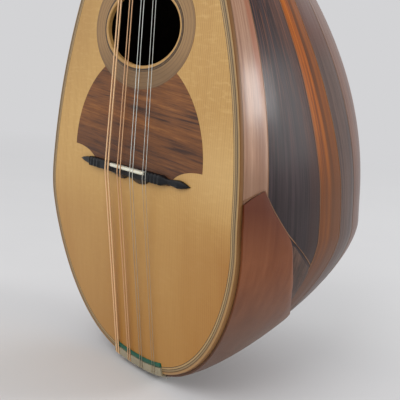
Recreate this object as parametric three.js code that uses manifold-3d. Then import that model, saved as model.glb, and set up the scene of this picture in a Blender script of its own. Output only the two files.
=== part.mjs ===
// Bowlback mandolin, upright, in millimetres
// Origin on the nut line at the neck's front plane, +Z towards the head, soundboard facing -Y
import * as THREE from 'three';
import { mergeVertices } from 'three/addons/utils/BufferGeometryUtils.js';
import Module from 'manifold-3d';

const wasm = await Module();
wasm.setup();

// Playing lengths
const scaleLength = 330;
const bodyFretCount = 10;
const fretCount = 17;
const bridgeToTail = 120.8;
const bridgeToHole = 83;
const widestBelowBridge = 25.7;
const saddleLead = 1.4;

// Body outline and bowl
const bodyWidth = 195.4;
const bowlDepth = 171;
const neckWidthAtBody = 38;
const shoulderPower = 2.18;
const tailSidePower = 0.8;
const tailEndPower = 1.24;
const upperDepthPower = 1.065;
const lowerDepthPower = 2.21;
const ribThickness = 2.4;
const ribJointShares = [0, 0.066, 0.235, 0.34, 0.455, 0.65, 0.86];
const ribSteps = [1, 2, 2, 2, 3, 3];
const keelSteps = 3;

// Soundboard with its bend behind the bridge
const boardThickness = 2.4;
const cantDegrees = 7.2;
const bendBelowBridge = 18;
const bendBlend = 10;

// Edge, inlays and hole
const bindingWidth = 1.7;
const bindingHeight = 2.6;
const purflingWidth = 3;
const inlayThickness = 1;
const inlayBedding = 0.2;
const holeWidth = 74;
const holeHeight = 43.6;
const holeRingWidth = 2.8;
const rosetteWidth = 10.4;
const guardWidth = 133;
const guardRise = 61;
const guardBaseBelowCorner = 11;
const guardCornerAboveBridge = 8.5;
const guardBiteWidth = 27;

// Inside of the box
const liningWidth = 5.5;
const liningHeight = 6.5;
const braceWidth = 6;
const braceHeight = 9;
const braceFromHole = 36;
const blockLength = 26;
const tailBlockWidth = 108;
const tailBlockDepth = 46;
const blockClearance = 0.8;

// Tail end
const claspThickness = 1.2;
const claspClearance = 0.5;
const edgeGuardWidth = 4;
const edgeGuardProud = 1.4;
const edgeGuardWall = 1.3;
const edgeGuardLeft = 22;
const edgeGuardRight = 30;
const feltWidth = 3;
const feltHeight = 1.1;
const tailpieceWidth = 54;
const tailpieceDepth = 22;
const tailpieceThickness = 1.1;
const hookRadius = 0.9;
const hookHeight = 2.8;
const hookInset = 8;

// Neck, fingerboard and nut
const nutWidth = 29;
const nutDepth = 4;
const neckDepthAtNut = 16;
const fingerboardThickness = 3.3;
const fretHeight = 0.8;
const fretWidth = 1.5;
const fingerboardPastLastFret = 3.6;
const fingerboardOverhang = 0.4;
const nutStringClearance = 0.4;

// Bridge and saddle
const bridgeLength = 115;
const bridgeThickness = 5.8;
const saddleHeight = 5;
const bridgeHeight = 3.9;
const saddleLength = 36.6;
const saddleThickness = 2;
const saddleSeat = 1.5;
const bridgeArchHeight = 1;

// Head
const headTiltDegrees = 12;
const headLength = 138;
const headThickness = 15;
const headWidth = 64;

// Tuners
const postSpacing = 23;
const firstPost = 30;
const postOffset = 22;
const postRadius = 3;
const postProud = 13;
const postTopChamfer = 0.6;
const wrapCentre = 6.2;
const wrapLength = 4;
const wrapRadius = 0.9;
const hubRadius = 3.8;
const boreClearance = 0.3;
const gearTeeth = 14;
const gearTipRadius = 5.95;
const gearDepth = 1.3;
const gearThickness = 2.4;
const wormCoreRadius = 1.8;
const meshClearance = 0.25;
const wormTurns = 2.25;
const shaftRadius = 1.4;
const collarRadius = 2.4;
const plateThickness = 1.5;
const plateWidth = 13.5;
const plateMargin = 3.5;
const earThickness = 1.4;
const earHeight = 5;
const buttonLength = 12.5;
const buttonHeight = 15;
const buttonThickness = 8;
const buttonClearance = 2;

// Strings from the bass side, with their places at the nut, bridge and tail
const stringNames = ['g1', 'g2', 'd1', 'd2', 'a1', 'a2', 'e1', 'e2'];
const gStringRadius = 0.5;
const dStringRadius = 0.34;
const aStringRadius = 0.2;
const eStringRadius = 0.15;
const nutCourseSpacing = 7.5;
const nutPairSpacing = 2.2;
const bridgeCourseSpacing = 13.2;
const bridgePairSpacing = 3.1;
const tailCourseSpacing = 13.2;
const tailPairSpacing = 2.3;
const tailShift = 2;
const stringClearance = 0.45;

// Assembly gap between neighbours, overrun of every cut and weld tolerance
const seam = 0.3;
const overrun = 5;
const weld = 0.0005;
const probeShare = 0.002;
const tieShare = 1.001;

// Places along the instrument
const jointZ = -scaleLength * (1 - 2 ** (-bodyFretCount / 12));
const bridgeZ = -scaleLength;
const holeZ = bridgeZ + bridgeToHole;
const widestZ = bridgeZ - widestBelowBridge;
const tailZ = bridgeZ - bridgeToTail;
const bendZ = bridgeZ - bendBelowBridge;
const halfWidth = bodyWidth / 2;
const rimDrop = bindingHeight + seam;
const ribEndShare = 1.918;
const rimEndShare = 1.97;
const poleShare = 1.985;

const point = (x, y, z) => new THREE.Vector3(x, y, z);
const radians = THREE.MathUtils.degToRad;
const mix = THREE.MathUtils.lerp;

// Closed solid from a three.js geometry
function solidFrom(geometry) {
  const bare = geometry.clone();
  for (const name of Object.keys(bare.attributes)) {
    if (name !== 'position') bare.deleteAttribute(name);
  }
  const merged = mergeVertices(bare, weld);
  const vertProperties = Float32Array.from(merged.attributes.position.array);
  const triVerts = Uint32Array.from(merged.index.array);
  return new wasm.Manifold(new wasm.Mesh({ numProp: 3, vertProperties, triVerts }));
}

// Geometry from a cut or joined solid
function geometryFrom(solid) {
  const mesh = solid.getMesh();
  const geometry = new THREE.BufferGeometry();
  geometry.setAttribute('position', new THREE.BufferAttribute(Float32Array.from(mesh.vertProperties), 3));
  geometry.setIndex(new THREE.BufferAttribute(Uint32Array.from(mesh.triVerts), 1));
  geometry.computeVertexNormals();
  return geometry;
}

const joined = (geometries) => geometries.map(solidFrom).reduce((sum, next) => sum.add(next));
const cut = (solid, geometries) => {
  return geometries.map(solidFrom).reduce((rest, tool) => rest.subtract(tool), solid);
};

// Six times the signed volume of an indexed mesh
function signedVolume(rows, triangles) {
  let total = 0;
  for (let i = 0; i < triangles.length; i += 3) {
    const [a, b, c] = [rows[triangles[i]], rows[triangles[i + 1]], rows[triangles[i + 2]]];
    total += a.dot(b.clone().cross(c));
  }
  return total;
}

// Solid through rings of equal, even size, split along short diagonals, its end faces closed as ladders
function loft(rings) {
  const size = rings[0].length;
  const rows = rings.flat();
  const last = (rings.length - 1) * size;
  const triangles = [];
  const quad = (a, b, c, d) => {
    const isLong = rows[a].distanceTo(rows[c]) > rows[b].distanceTo(rows[d]) * tieShare;
    if (isLong) triangles.push(a, b, d, b, c, d);
    else triangles.push(a, b, c, a, c, d);
  };
  for (let start = 0; start < last; start += size) {
    for (let k = 0; k < size; k += 1) {
      const next = (k + 1) % size;
      quad(start + k, start + next, start + size + next, start + size + k);
    }
  }
  for (let k = 0; k < size / 2 - 1; k += 1) {
    quad(k, size - 1 - k, size - 2 - k, k + 1);
    quad(last + k, last + k + 1, last + size - 2 - k, last + size - 1 - k);
  }
  if (signedVolume(rows, triangles) < 0) triangles.reverse();
  const geometry = new THREE.BufferGeometry().setFromPoints(rows);
  geometry.setIndex(triangles);
  geometry.computeVertexNormals();
  return geometry;
}

// Shape drawn in x and z, run through the thickness in y
function prism(shape, front, back, curveSegments) {
  const settings = { depth: back - front, bevelEnabled: false, curveSegments };
  const geometry = new THREE.ExtrudeGeometry(shape, settings);
  geometry.rotateX(Math.PI / 2);
  geometry.translate(0, back, 0);
  return geometry;
}

function box(x0, x1, y0, y1, z0, z1) {
  const geometry = new THREE.BoxGeometry(x1 - x0, y1 - y0, z1 - z0);
  geometry.translate((x0 + x1) / 2, (y0 + y1) / 2, (z0 + z1) / 2);
  return geometry;
}

// Round bar along an axis name from one place to another
function bar(axis, radius, from, to, centre, sides) {
  const geometry = new THREE.CylinderGeometry(radius, radius, to - from, sides);
  geometry.translate(0, (from + to) / 2, 0);
  if (axis === 'x') geometry.rotateZ(-Math.PI / 2);
  if (axis === 'z') geometry.rotateX(Math.PI / 2);
  geometry.translate(centre.x, centre.y, centre.z);
  return geometry;
}

// First place between two shares where a rising test passes zero
const solveSteps = 40;
function solve(test, from, to) {
  let [low, high] = [from, to];
  for (let i = 0; i < solveSteps; i += 1) {
    const middle = (low + high) / 2;
    if (test(middle) < 0) low = middle;
    else high = middle;
  }
  return (low + high) / 2;
}

// Right half of the body outline: 0 at the neck, 1 at the widest place, 2 at the tail
function outline(t) {
  if (t <= 1) {
    const rise = 1 - t;
    const x = halfWidth - (halfWidth - neckWidthAtBody / 2) * rise ** shoulderPower;
    return { x, z: mix(widestZ, jointZ, rise) };
  }
  const turn = ((t - 1) * Math.PI) / 2;
  const x = halfWidth * Math.max(Math.cos(turn), 0) ** tailSidePower;
  return { x, z: mix(widestZ, tailZ, Math.sin(turn) ** tailEndPower) };
}

// Outline moved inwards along its normal
function insetOutline(t, inset) {
  const here = outline(t);
  const before = outline(Math.max(t - probeShare, 0));
  const after = outline(Math.min(t + probeShare, 2));
  const run = Math.hypot(after.x - before.x, after.z - before.z);
  const x = here.x + (inset * (after.z - before.z)) / run;
  return { x, z: here.z - (inset * (after.x - before.x)) / run };
}

const shareAt = (z, inset) => solve((t) => z - insetOutline(t, inset).z, 0, 2);
const halfWidthAt = (z, inset) => insetOutline(shareAt(z, inset), inset).x;
const rimShareAt = (x) => solve((t) => Math.abs(x) - outline(t).x, 1, 2);
const rimZAt = (x, inset) => insetOutline(rimShareAt(x), 0).z + inset;

// Front face of the soundboard: flat to the bend, then canted back to the tail
function boardY(z) {
  const slope = Math.tan(radians(cantDegrees));
  const into = (bendZ + bendBlend - z) / (2 * bendBlend);
  if (into <= 0) return 0;
  if (into >= 1) return slope * (bendZ - z);
  return slope * bendBlend * into ** 2;
}

// Depth of the bowl below the rim
function bowlFall(t) {
  const power = t < 1 ? upperDepthPower : lowerDepthPower;
  return (bowlDepth - rimDrop) * (outline(t).x / halfWidth) ** power;
}

// Bowl surface, angle 0 on the right rim and half a turn on the left
function bowlSurface(t, angle) {
  const { x, z } = outline(t);
  return point(x * Math.cos(angle), boardY(z) + rimDrop + bowlFall(t) * Math.sin(angle), z);
}

// The same surface lifted along its outward normal
function bowlPoint(t, angle, lift) {
  const along = bowlSurface(t + probeShare, angle).sub(bowlSurface(t - probeShare, angle));
  const across = bowlSurface(t, angle + probeShare).sub(bowlSurface(t, angle - probeShare));
  return bowlSurface(t, angle).addScaledVector(along.cross(across).normalize(), lift);
}

// Bowl height z above a place on the tail end
function bowlZ(x, y) {
  const outside = (t) => {
    const { x: reach, z } = outline(t);
    return (x / reach) ** 2 + ((y - boardY(z) - rimDrop) / bowlFall(t)) ** 2 - 1;
  };
  return outline(solve(outside, 1, poleShare)).z;
}

const spread = (from, to, count) => Array.from({ length: count + 1 }, (_, i) => mix(from, to, i / count));
const stations = (upper, lower, end) => [...spread(0, 1, upper), ...spread(1, end, lower).slice(1)];
const ribStations = stations(8, 9, ribEndShare);
const rimStations = stations(10, 12, rimEndShare);

// Places around the rim from one side over the tail to the other
function rimPath(places) {
  const left = places.map((t) => ({ t, side: -1 }));
  const right = places.map((t) => ({ t, side: 1 })).reverse();
  return [...left, { t: 2, side: 0 }, ...right];
}

// Strip along the rim with a section of inset and drop pairs
function rimStrip(section, path) {
  const ring = ({ t, side }) => section.map(([inset, drop]) => {
    const { x, z } = insetOutline(t, inset);
    return point(side * x, boardY(z) + drop, z);
  });
  return loft(path.map(ring));
}

const strip = (outer, inner, front, back) => [[outer, front], [inner, front], [inner, back], [outer, back]];

// Plate with the board's outline and bend
function boardPlate(inset, front, back) {
  const ring = (t) => {
    const { x, z } = insetOutline(t, inset);
    const y = boardY(z);
    return [point(-x, y + front, z), point(x, y + front, z), point(x, y + back, z), point(-x, y + back, z)];
  };
  return loft(rimStations.map(ring));
}

function ovalShape(halfX, halfZ, hole) {
  const shape = new THREE.Shape();
  shape.absellipse(0, holeZ, halfX, halfZ, 0, 2 * Math.PI);
  if (hole) {
    const path = new THREE.Path();
    path.absellipse(0, holeZ, hole.halfX, hole.halfZ, 0, 2 * Math.PI);
    shape.holes.push(path);
  }
  return shape;
}

// Hole, ring and rosette share one centre
const holeHalfX = holeWidth / 2;
const holeHalfZ = holeHeight / 2;
const rosetteOuter = holeRingWidth + rosetteWidth;
const holeSegments = 18;
const oval = (grow, hole) => ovalShape(holeHalfX + grow, holeHalfZ + grow, hole);
const ovalRing = (inner, outer) => oval(outer, { halfX: holeHalfX + inner, halfZ: holeHalfZ + inner });
const holeRing = () => prism(ovalRing(0, holeRingWidth - seam / 2), 0, inlayThickness, holeSegments);
const rosetteInner = holeRingWidth + seam / 2;
const rosette = () => prism(ovalRing(rosetteInner, rosetteOuter), 0, inlayThickness, holeSegments);

// Pickguard: an arch over the bridge with a bite at each lower corner
const guardCornerZ = bridgeZ + guardCornerAboveBridge;
function pickguardShape(grow) {
  const half = guardWidth / 2 + grow;
  const baseZ = guardCornerZ - guardBaseBelowCorner - grow;
  const biteHalf = guardBiteWidth - grow;
  const biteFall = guardBaseBelowCorner;
  const shape = new THREE.Shape();
  shape.moveTo(half, guardCornerZ - grow);
  shape.absellipse(0, guardCornerZ - grow, half, guardRise + 2 * grow, 0, Math.PI);
  shape.absellipse(-half, baseZ, biteHalf, biteFall, Math.PI / 2, 0, true);
  shape.lineTo(half - biteHalf, baseZ);
  shape.absellipse(half, baseZ, biteHalf, biteFall, Math.PI, Math.PI / 2, true);
  return shape;
}

const guardSegments = 12;
function pickguard() {
  const blank = solidFrom(prism(pickguardShape(0), 0, inlayThickness, guardSegments));
  return geometryFrom(cut(blank, [prism(oval(rosetteOuter + seam), -overrun, overrun, holeSegments)]));
}

function soundboard() {
  const bedding = inlayThickness + inlayBedding;
  const face = boardPlate(bindingWidth + purflingWidth + seam, 0, boardThickness);
  const ledge = boardPlate(bindingWidth + seam, bedding, boardThickness);
  const beds = [
    prism(oval(rosetteOuter + seam), -overrun, bedding, holeSegments),
    prism(pickguardShape(seam), -overrun, bedding, guardSegments),
    prism(oval(0), -overrun, overrun, holeSegments),
  ];
  return geometryFrom(cut(joined([face, ledge]), beds));
}

const liningOuter = ribThickness + blockClearance;
const liningSteps = 20;
const underBoard = boardThickness + seam;
const binding = () => rimStrip(strip(0, bindingWidth, 0, bindingHeight), rimPath(rimStations));
const purfling = () => {
  const section = strip(bindingWidth + seam, bindingWidth + purflingWidth, 0, inlayThickness);
  return rimStrip(section, rimPath(rimStations));
};

// Inside of the bowl as one solid, which trims what is fitted in it
function bowlInside() {
  const angles = spread(0, Math.PI, 17);
  const ring = (t) => {
    const wall = angles.map((angle) => bowlPoint(t, angle, -ribThickness - blockClearance));
    const lid = boardY(outline(t).z) + underBoard;
    const top = (p) => point(p.x, lid, p.z);
    return [top(wall[0]), ...wall.map((p) => point(p.x, Math.max(p.y, lid + seam), p.z)), top(wall.at(-1))];
  };
  return solidFrom(loft([...ribStations, rimEndShare].map(ring)));
}
const inside = bowlInside();

const neckBlockEnd = jointZ - blockLength;
const tailBlockTop = tailZ + blockLength;
const neckBlock = () => {
  const room = box(-halfWidth, halfWidth, 0, bowlDepth, neckBlockEnd, jointZ - seam);
  return geometryFrom(inside.intersect(solidFrom(room)));
};
const tailBlock = () => {
  const back = boardY(tailZ) + tailBlockDepth;
  const room = box(-tailBlockWidth / 2, tailBlockWidth / 2, 0, back, tailZ - overrun, tailBlockTop);
  return geometryFrom(inside.intersect(solidFrom(room)));
};

// Lining along one side between the blocks
function lining(side) {
  const from = shareAt(neckBlockEnd - seam, liningOuter);
  const to = shareAt(tailBlockTop + seam, liningOuter);
  const section = strip(liningOuter, liningOuter + liningWidth, underBoard, underBoard + liningHeight);
  return rimStrip(section, spread(from, to, liningSteps).map((t) => ({ t, side })));
}

function brace(z) {
  const half = halfWidthAt(z - braceWidth / 2, liningOuter + liningWidth + seam);
  const other = halfWidthAt(z + braceWidth / 2, liningOuter + liningWidth + seam);
  const reach = Math.min(half, other);
  return box(-reach, reach, underBoard, underBoard + braceHeight, z - braceWidth / 2, z + braceWidth / 2);
}

// One stave of the bowl between two joint angles
function stave(from, to, steps) {
  const ring = (t) => {
    const edge = (angle, way) => {
      const across = bowlSurface(t, angle + probeShare).distanceTo(bowlSurface(t, angle));
      const onRim = angle === 0 || angle === Math.PI;
      return onRim ? angle : angle + (way * seam * probeShare) / (2 * across);
    };
    const angles = spread(edge(from, 1), edge(to, -1), steps);
    const outer = angles.map((angle) => bowlPoint(t, angle, 0));
    const inner = angles.map((angle) => bowlPoint(t, angle, -ribThickness));
    return [...outer, ...inner.reverse()];
  };
  return loft(ribStations.map(ring));
}

// Clasp over the tail: its upper edge as shares of the quarter turn and of the tail height
const claspEdgeShares = [
  [0, 1.272], [0.021, 1.307], [0.047, 1.337], [0.072, 1.232], [0.098, 1.152], [0.128, 1.066],
  [0.142, 1.005], [0.157, 0.885], [0.179, 0.785], [0.227, 0.638], [0.311, 0.522], [0.38, 0.471],
  [0.44, 0.442], [0.5, 0.422], [0.56, 0.405], [0.63, 0.389], [0.7, 0.375], [0.78, 0.366],
  [0.86, 0.36], [0.93, 0.357], [1, 0.355],
];
const tailHeight = widestZ - tailZ;

// Station at a share of the height from the tail to the widest place
function stationAt(share) {
  if (share > 1) return 1 - ((share - 1) * tailHeight) / (jointZ - widestZ);
  return 1 + (Math.asin((1 - share) ** (1 / tailEndPower)) * 2) / Math.PI;
}

const claspRows = 11;
const claspRowShare = 1.15;
function clasp() {
  const right = claspEdgeShares.map(([turn, height]) => [(turn * Math.PI) / 2, stationAt(height)]);
  const left = right.slice(0, -1).map(([angle, start]) => [Math.PI - angle, start]).reverse();
  const columns = [...right, ...left];
  const ring = (row) => {
    const layer = (lift) => columns.map(([angle, start]) => {
      return bowlPoint(mix(start, poleShare, row), angle, lift);
    });
    return [...layer(claspClearance + claspThickness), ...layer(claspClearance).reverse()];
  };
  return loft(spread(0, 1, claspRows).map((row) => ring(1 - (1 - row) ** claspRowShare)));
}

// Bone edge over the rim at the tail, and the felt strip inside it
const guardSide = (reach, side) => {
  return spread(rimShareAt(reach), 2, 5).slice(0, -1).map((t) => ({ t, side }));
};
const guardPath = () => {
  const right = guardSide(edgeGuardRight, 1).reverse();
  return [...guardSide(edgeGuardLeft, -1), { t: 2, side: 0 }, ...right];
};
function edgeGuard() {
  const outer = -seam - edgeGuardWall;
  const section = [
    [outer, bindingHeight - seam], [outer, -edgeGuardProud / 2],
    [-seam, -edgeGuardProud], [edgeGuardWidth, -edgeGuardProud],
    [edgeGuardWidth, -seam], [edgeGuardWall, -seam],
    [-seam, -seam], [-seam, bindingHeight - seam],
  ];
  return rimStrip(section, guardPath());
}
const feltOuter = edgeGuardWidth + seam;
const felt = () => {
  const section = strip(feltOuter, feltOuter + feltWidth, -seam - feltHeight, -seam);
  return rimStrip(section, guardPath());
};

// Places of the strings across the nut, bridge and tail
function acrossAt(index, courseSpacing, pairSpacing) {
  const course = Math.floor(index / 2) - 1.5;
  const pair = (index % 2) - 0.5;
  return course * courseSpacing + pair * pairSpacing;
}
const tailX = (index) => tailShift + acrossAt(index, tailCourseSpacing, tailPairSpacing);

// Metal tailpiece on the tail end with one hook for each string
const plateLift = claspClearance + claspThickness + 2 * seam;
const tailpieceTop = boardY(tailZ) + rimDrop + seam;
const hookY = tailpieceTop + tailpieceDepth - hookInset;
const hookSides = 6;
function tailpiece() {
  const acrossPlaces = spread(tailShift - tailpieceWidth / 2, tailShift + tailpieceWidth / 2, 8);
  const ring = (y) => {
    const inner = acrossPlaces.map((x) => point(x, y, bowlZ(x, y) - plateLift));
    const outer = inner.map((p) => point(p.x, p.y, p.z - tailpieceThickness));
    return [...outer, ...inner.reverse()];
  };
  const plate = loft(spread(tailpieceTop, tailpieceTop + tailpieceDepth, 5).map(ring));
  const hooks = stringNames.map((_, index) => {
    const x = tailX(index);
    const foot = bowlZ(x, hookY) - plateLift;
    const root = -tailpieceThickness / 2;
    return bar('z', hookRadius, root * 2 - hookHeight, root, point(x, hookY, foot), hookSides);
  });
  return geometryFrom(joined([plate, ...hooks]));
}

// Neck with its round back, from the body to the nut
const headStart = nutDepth + seam;
const headFrame = new THREE.Matrix4()
  .makeRotationX(-radians(headTiltDegrees))
  .setPosition(0, 0, headStart);

const heelShare = 0.625;
const heelPower = 0.7;
const neckRoundShare = 0.9;
function neckShaft() {
  const angles = spread(0, Math.PI, 9);
  const bodyDepth = rimDrop + bowlFall(0);
  const ring = (share) => {
    const half = mix(neckWidthAtBody, nutWidth + 2 * fingerboardOverhang, share) / 2;
    const depth = mix(bodyDepth, neckDepthAtNut, Math.min(share / heelShare, 1) ** heelPower);
    const z = mix(jointZ, headStart, share);
    return angles.map((angle) => point(half * Math.cos(angle), depth * Math.sin(angle) ** neckRoundShare, z));
  };
  return loft(spread(0, 1, 6).map(ring));
}

// Head outline in its own plane, with shares of its width and length
const headOutlineShares = [
  [0.47, 0], [0.49, 0.05], [0.6, 0.1], [0.86, 0.135], [0.9, 0.2], [1, 0.83], [0.97, 0.87], [0.8, 0.9],
  [0.62, 0.93], [0.4, 0.985], [0.14, 1],
];
function headShape() {
  const right = headOutlineShares.map(([x, z]) => new THREE.Vector2((x * headWidth) / 2, z * headLength));
  const left = right.map((p) => new THREE.Vector2(-p.x, p.y)).reverse();
  return new THREE.Shape([...right, ...left]);
}

const boreSides = 10;
const postGaps = stringNames.length / 2 - 1;
const postHeights = spread(firstPost, firstPost + postGaps * postSpacing, postGaps);
function neckAndHead() {
  const head = prism(headShape(), 0, headThickness, 1);
  const bores = [-1, 1].flatMap((side) => postHeights.map((z) => {
    const centre = point(side * postOffset, 0, z);
    return bar('y', postRadius + boreClearance, -overrun, headThickness + overrun, centre, boreSides);
  }));
  const drilled = geometryFrom(cut(solidFrom(head), bores)).applyMatrix4(headFrame);
  return geometryFrom(joined([neckShaft(), drilled]));
}

// Fingerboard over neck and body with its frets
const fretZ = (fret) => -scaleLength * (1 - 2 ** (-fret / 12));
const boardHalfAt = (z) => mix(nutWidth, neckWidthAtBody, z / jointZ) / 2 + fingerboardOverhang;
function fingerboard() {
  const end = fretZ(fretCount) - fingerboardPastLastFret;
  const ring = (z) => {
    const half = boardHalfAt(z);
    const corner = (x, y) => point(x, y, z);
    const top = -fingerboardThickness;
    return [corner(-half, top), corner(half, top), corner(half, -seam), corner(-half, -seam)];
  };
  const frets = Array.from({ length: fretCount }, (_, i) => {
    const z = fretZ(i + 1);
    const half = boardHalfAt(z) - fingerboardOverhang;
    const top = -fingerboardThickness - fretHeight;
    return box(-half, half, top, -fingerboardThickness + fretHeight, z - fretWidth / 2, z + fretWidth / 2);
  });
  return geometryFrom(joined([loft([-seam, end].map(ring)), ...frets]));
}

// Nut with a top that falls towards the head
const nutTop = fingerboardThickness + fretHeight + nutStringClearance - stringClearance;
const nutFall = nutDepth * Math.tan(radians(headTiltDegrees) / 2);
function nut() {
  const half = nutWidth / 2;
  const ring = ([z, top]) => {
    return [point(-half, -top, z), point(half, -top, z), point(half, -seam, z), point(-half, -seam, z)];
  };
  return loft([[0, nutTop], [nutDepth, nutTop - nutFall]].map(ring));
}

// Bridge plan on its two long sides and elevation, as shares of its length, thickness and height
const bridgeFrontShares = [
  [0.34, 0.9], [0.36, 1], [0.66, 1], [0.7, 0.5], [0.78, 0.42], [0.82, 0.74], [0.92, 0.76], [1, 0.1],
];
const bridgeRearShares = [
  [0, 1.2], [0.07, 1.5], [0.13, 1.9], [0.2, 2], [0.28, 1.75], [0.34, 1.05], [0.66, 1.05], [0.7, 0.5],
  [0.78, 0.42], [0.82, 0.68], [0.92, 0.7], [1, 0.06],
];
const bridgeHeightShares = [
  [0.34, 1], [0.36, 0.82], [0.66, 0.76], [0.7, 0.5], [0.8, 0.46], [0.92, 0.44], [1, 0.24],
];
const bridgeArchShares = [[0.06, 0], [0.09, 0.8], [0.15, 1], [0.21, 0.8], [0.25, 0]];
function bridge() {
  const half = bridgeLength / 2;
  const scaled = (shares, scale) => shares.map(([x, y]) => new THREE.Vector2(x * half, y * scale));
  const both = (points) => [...points, ...points.map((p) => new THREE.Vector2(-p.x, p.y)).reverse()];
  const front = both(scaled(bridgeFrontShares, bridgeThickness / 2).reverse());
  const rear = both(scaled(bridgeRearShares.slice(1), -bridgeThickness / 2).reverse()).reverse();
  rear.splice(rear.length / 2, 0, ...scaled(bridgeRearShares.slice(0, 1), -bridgeThickness / 2));
  const planShape = new THREE.Shape([...front, ...rear]);
  const top = scaled(bridgeHeightShares, -bridgeHeight);
  const foot = new THREE.Vector2(half, -seam);
  const arch = scaled(bridgeArchShares, -bridgeArchHeight).map((p) => new THREE.Vector2(p.x, p.y - seam));
  const sideShape = new THREE.Shape(both([...top, foot, ...arch.reverse()]));
  const side = new THREE.ExtrudeGeometry(sideShape, { depth: 2 * bridgeThickness, bevelEnabled: false });
  side.translate(0, 0, -bridgeThickness);
  const blank = solidFrom(prism(planShape, -bridgeHeight - overrun, 0, 1)).intersect(solidFrom(side));
  const ledgeHalf = saddleLength / 2 + seam;
  const ledgeBack = saddleLead - saddleThickness / 2 - seam;
  const ledgeFloor = -bridgeHeight + saddleSeat;
  const ledge = box(-ledgeHalf, ledgeHalf, -saddleHeight - overrun, ledgeFloor, ledgeBack, overrun);
  return geometryFrom(cut(blank, [ledge]));
}
const saddle = () => {
  const half = saddleLength / 2;
  const back = saddleLead - saddleThickness / 2;
  return box(-half, half, -saddleHeight, -bridgeHeight + saddleSeat - seam, back, back + saddleThickness);
};

// Worm and gear, in mesh at rest
const gearPitchRadius = gearTipRadius - gearDepth / 2;
const wormPitch = (2 * Math.PI * gearPitchRadius) / gearTeeth;
const centreDistance = gearTipRadius + wormCoreRadius + meshClearance;
const wormTipRadius = centreDistance - (gearTipRadius - gearDepth) - meshClearance;
const gearToothShares = [[-0.27, 0], [-0.13, 1], [0.13, 1], [0.27, 0]];
const wormThreadShares = [[-0.23, 0], [-0.13, 1], [0.13, 1], [0.23, 0]];
const wormLength = wormPitch * wormTurns;
const plateBack = headThickness + seam + plateThickness;
const wormY = plateBack + seam + wormTipRadius;

function gear() {
  const points = [];
  for (let tooth = 0; tooth < gearTeeth; tooth += 1) {
    for (const [turn, rise] of gearToothShares) {
      const angle = ((tooth + turn) * 2 * Math.PI) / gearTeeth;
      const radius = gearTipRadius - gearDepth * (1 - rise);
      points.push(new THREE.Vector2(radius * Math.sin(angle), radius * Math.cos(angle)));
    }
  }
  return prism(new THREE.Shape(points), wormY - gearThickness / 2, wormY + gearThickness / 2, 1);
}

// String post with its gear, wrapped string and hub, about its own axis
const postTop = -postProud;
const postNeckShare = 0.85;
const postSides = 8;
function post() {
  const wrapStart = -wrapCentre + wrapLength / 2;
  const wrapEnd = -wrapCentre - wrapLength / 2;
  const wrapOuter = postRadius + wrapRadius;
  const profile = [
    [0, wormY + gearThickness / 2], [postRadius, wormY + gearThickness / 2], [postRadius, wormY],
    [hubRadius, wormY], [hubRadius, plateBack + seam], [postRadius, plateBack + seam],
    [postRadius, wrapStart], [wrapOuter, wrapStart - wrapRadius / 2], [wrapOuter, wrapEnd + wrapRadius / 2],
    [postRadius * postNeckShare, wrapEnd], [postRadius, postTop + 2 * postTopChamfer],
    [postRadius - postTopChamfer, postTop], [0, postTop],
  ];
  const corners = profile.map(([r, y]) => new THREE.Vector2(r, y)).reverse();
  const turned = new THREE.LatheGeometry(corners, postSides);
  return geometryFrom(joined([turned, gear()]));
}

// Thread of the worm about the x axis, set so that a gear tooth stands between two threads
const threadSteps = 8;
function thread() {
  const count = Math.round(threadSteps * wormTurns);
  const start = -wormLength / 2;
  const ring = (share) => {
    const x = start + share * wormLength;
    const angle = -Math.PI / 2 + ((x - wormPitch / 2) * 2 * Math.PI) / wormPitch;
    return wormThreadShares.map(([along, rise]) => {
      const radius = wormTipRadius - (wormTipRadius - wormCoreRadius + meshClearance) * (1 - rise);
      return point(x + along * wormPitch, wormY + radius * Math.cos(angle), radius * Math.sin(angle));
    });
  };
  return loft(spread(0, 1, count).map(ring));
}

// Button with its shaft and worm, the shaft running out to one side
const earGap = wormLength / 2 + wormPitch / 4 + seam;
const buttonStart = headWidth / 2 - postOffset + buttonClearance;
const shaftSides = 8;
function buttonAndWorm(side) {
  const line = (radius, from, to) => {
    const ends = [side * from, side * to].sort((a, b) => a - b);
    return bar('x', radius, ...ends, point(0, wormY, 0), shaftSides);
  };
  const knob = new THREE.SphereGeometry(1, 8, 5);
  knob.rotateZ(Math.PI / 2);
  knob.scale(buttonLength / 2, buttonThickness / 2, buttonHeight / 2);
  knob.translate(side * (buttonStart + buttonLength / 2), wormY, 0);
  const parts = [
    line(wormCoreRadius, -earGap + seam, earGap - seam),
    line(shaftRadius, -earGap - earThickness - seam, buttonStart + buttonLength / 2),
    line(collarRadius, buttonStart - shaftRadius, buttonStart + shaftRadius),
    thread(),
    knob,
  ];
  return geometryFrom(joined(parts));
}

// Plate on the back of the head with a pair of bearing ears for each worm
function tunerPlate(side) {
  const front = headThickness + seam;
  const middle = postOffset * side;
  const low = firstPost - gearTipRadius - plateMargin;
  const high = postHeights.at(-1) + centreDistance + earHeight / 2 + plateMargin;
  const blank = box(middle - plateWidth / 2, middle + plateWidth / 2, front, plateBack, low, high);
  const ears = postHeights.flatMap((z) => [-1, 1].map((way) => {
    const xs = [middle + way * earGap, middle + way * (earGap + earThickness)].sort((a, b) => a - b);
    const height = z + centreDistance;
    const back = wormY + shaftRadius + earThickness;
    return box(...xs, front, back, height - earHeight / 2, height + earHeight / 2);
  }));
  const postBores = postHeights.map((z) => {
    const centre = point(middle, 0, z);
    return bar('y', postRadius + boreClearance, front - overrun, plateBack + overrun, centre, boreSides);
  });
  const shaftBores = postHeights.map((z) => {
    const reach = earGap + earThickness + overrun;
    const centre = point(middle, wormY, z + centreDistance);
    return bar('x', shaftRadius + boreClearance, -reach, reach, centre, shaftSides);
  });
  return geometryFrom(cut(cut(joined([blank, ...ears]), postBores), shaftBores));
}

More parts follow.
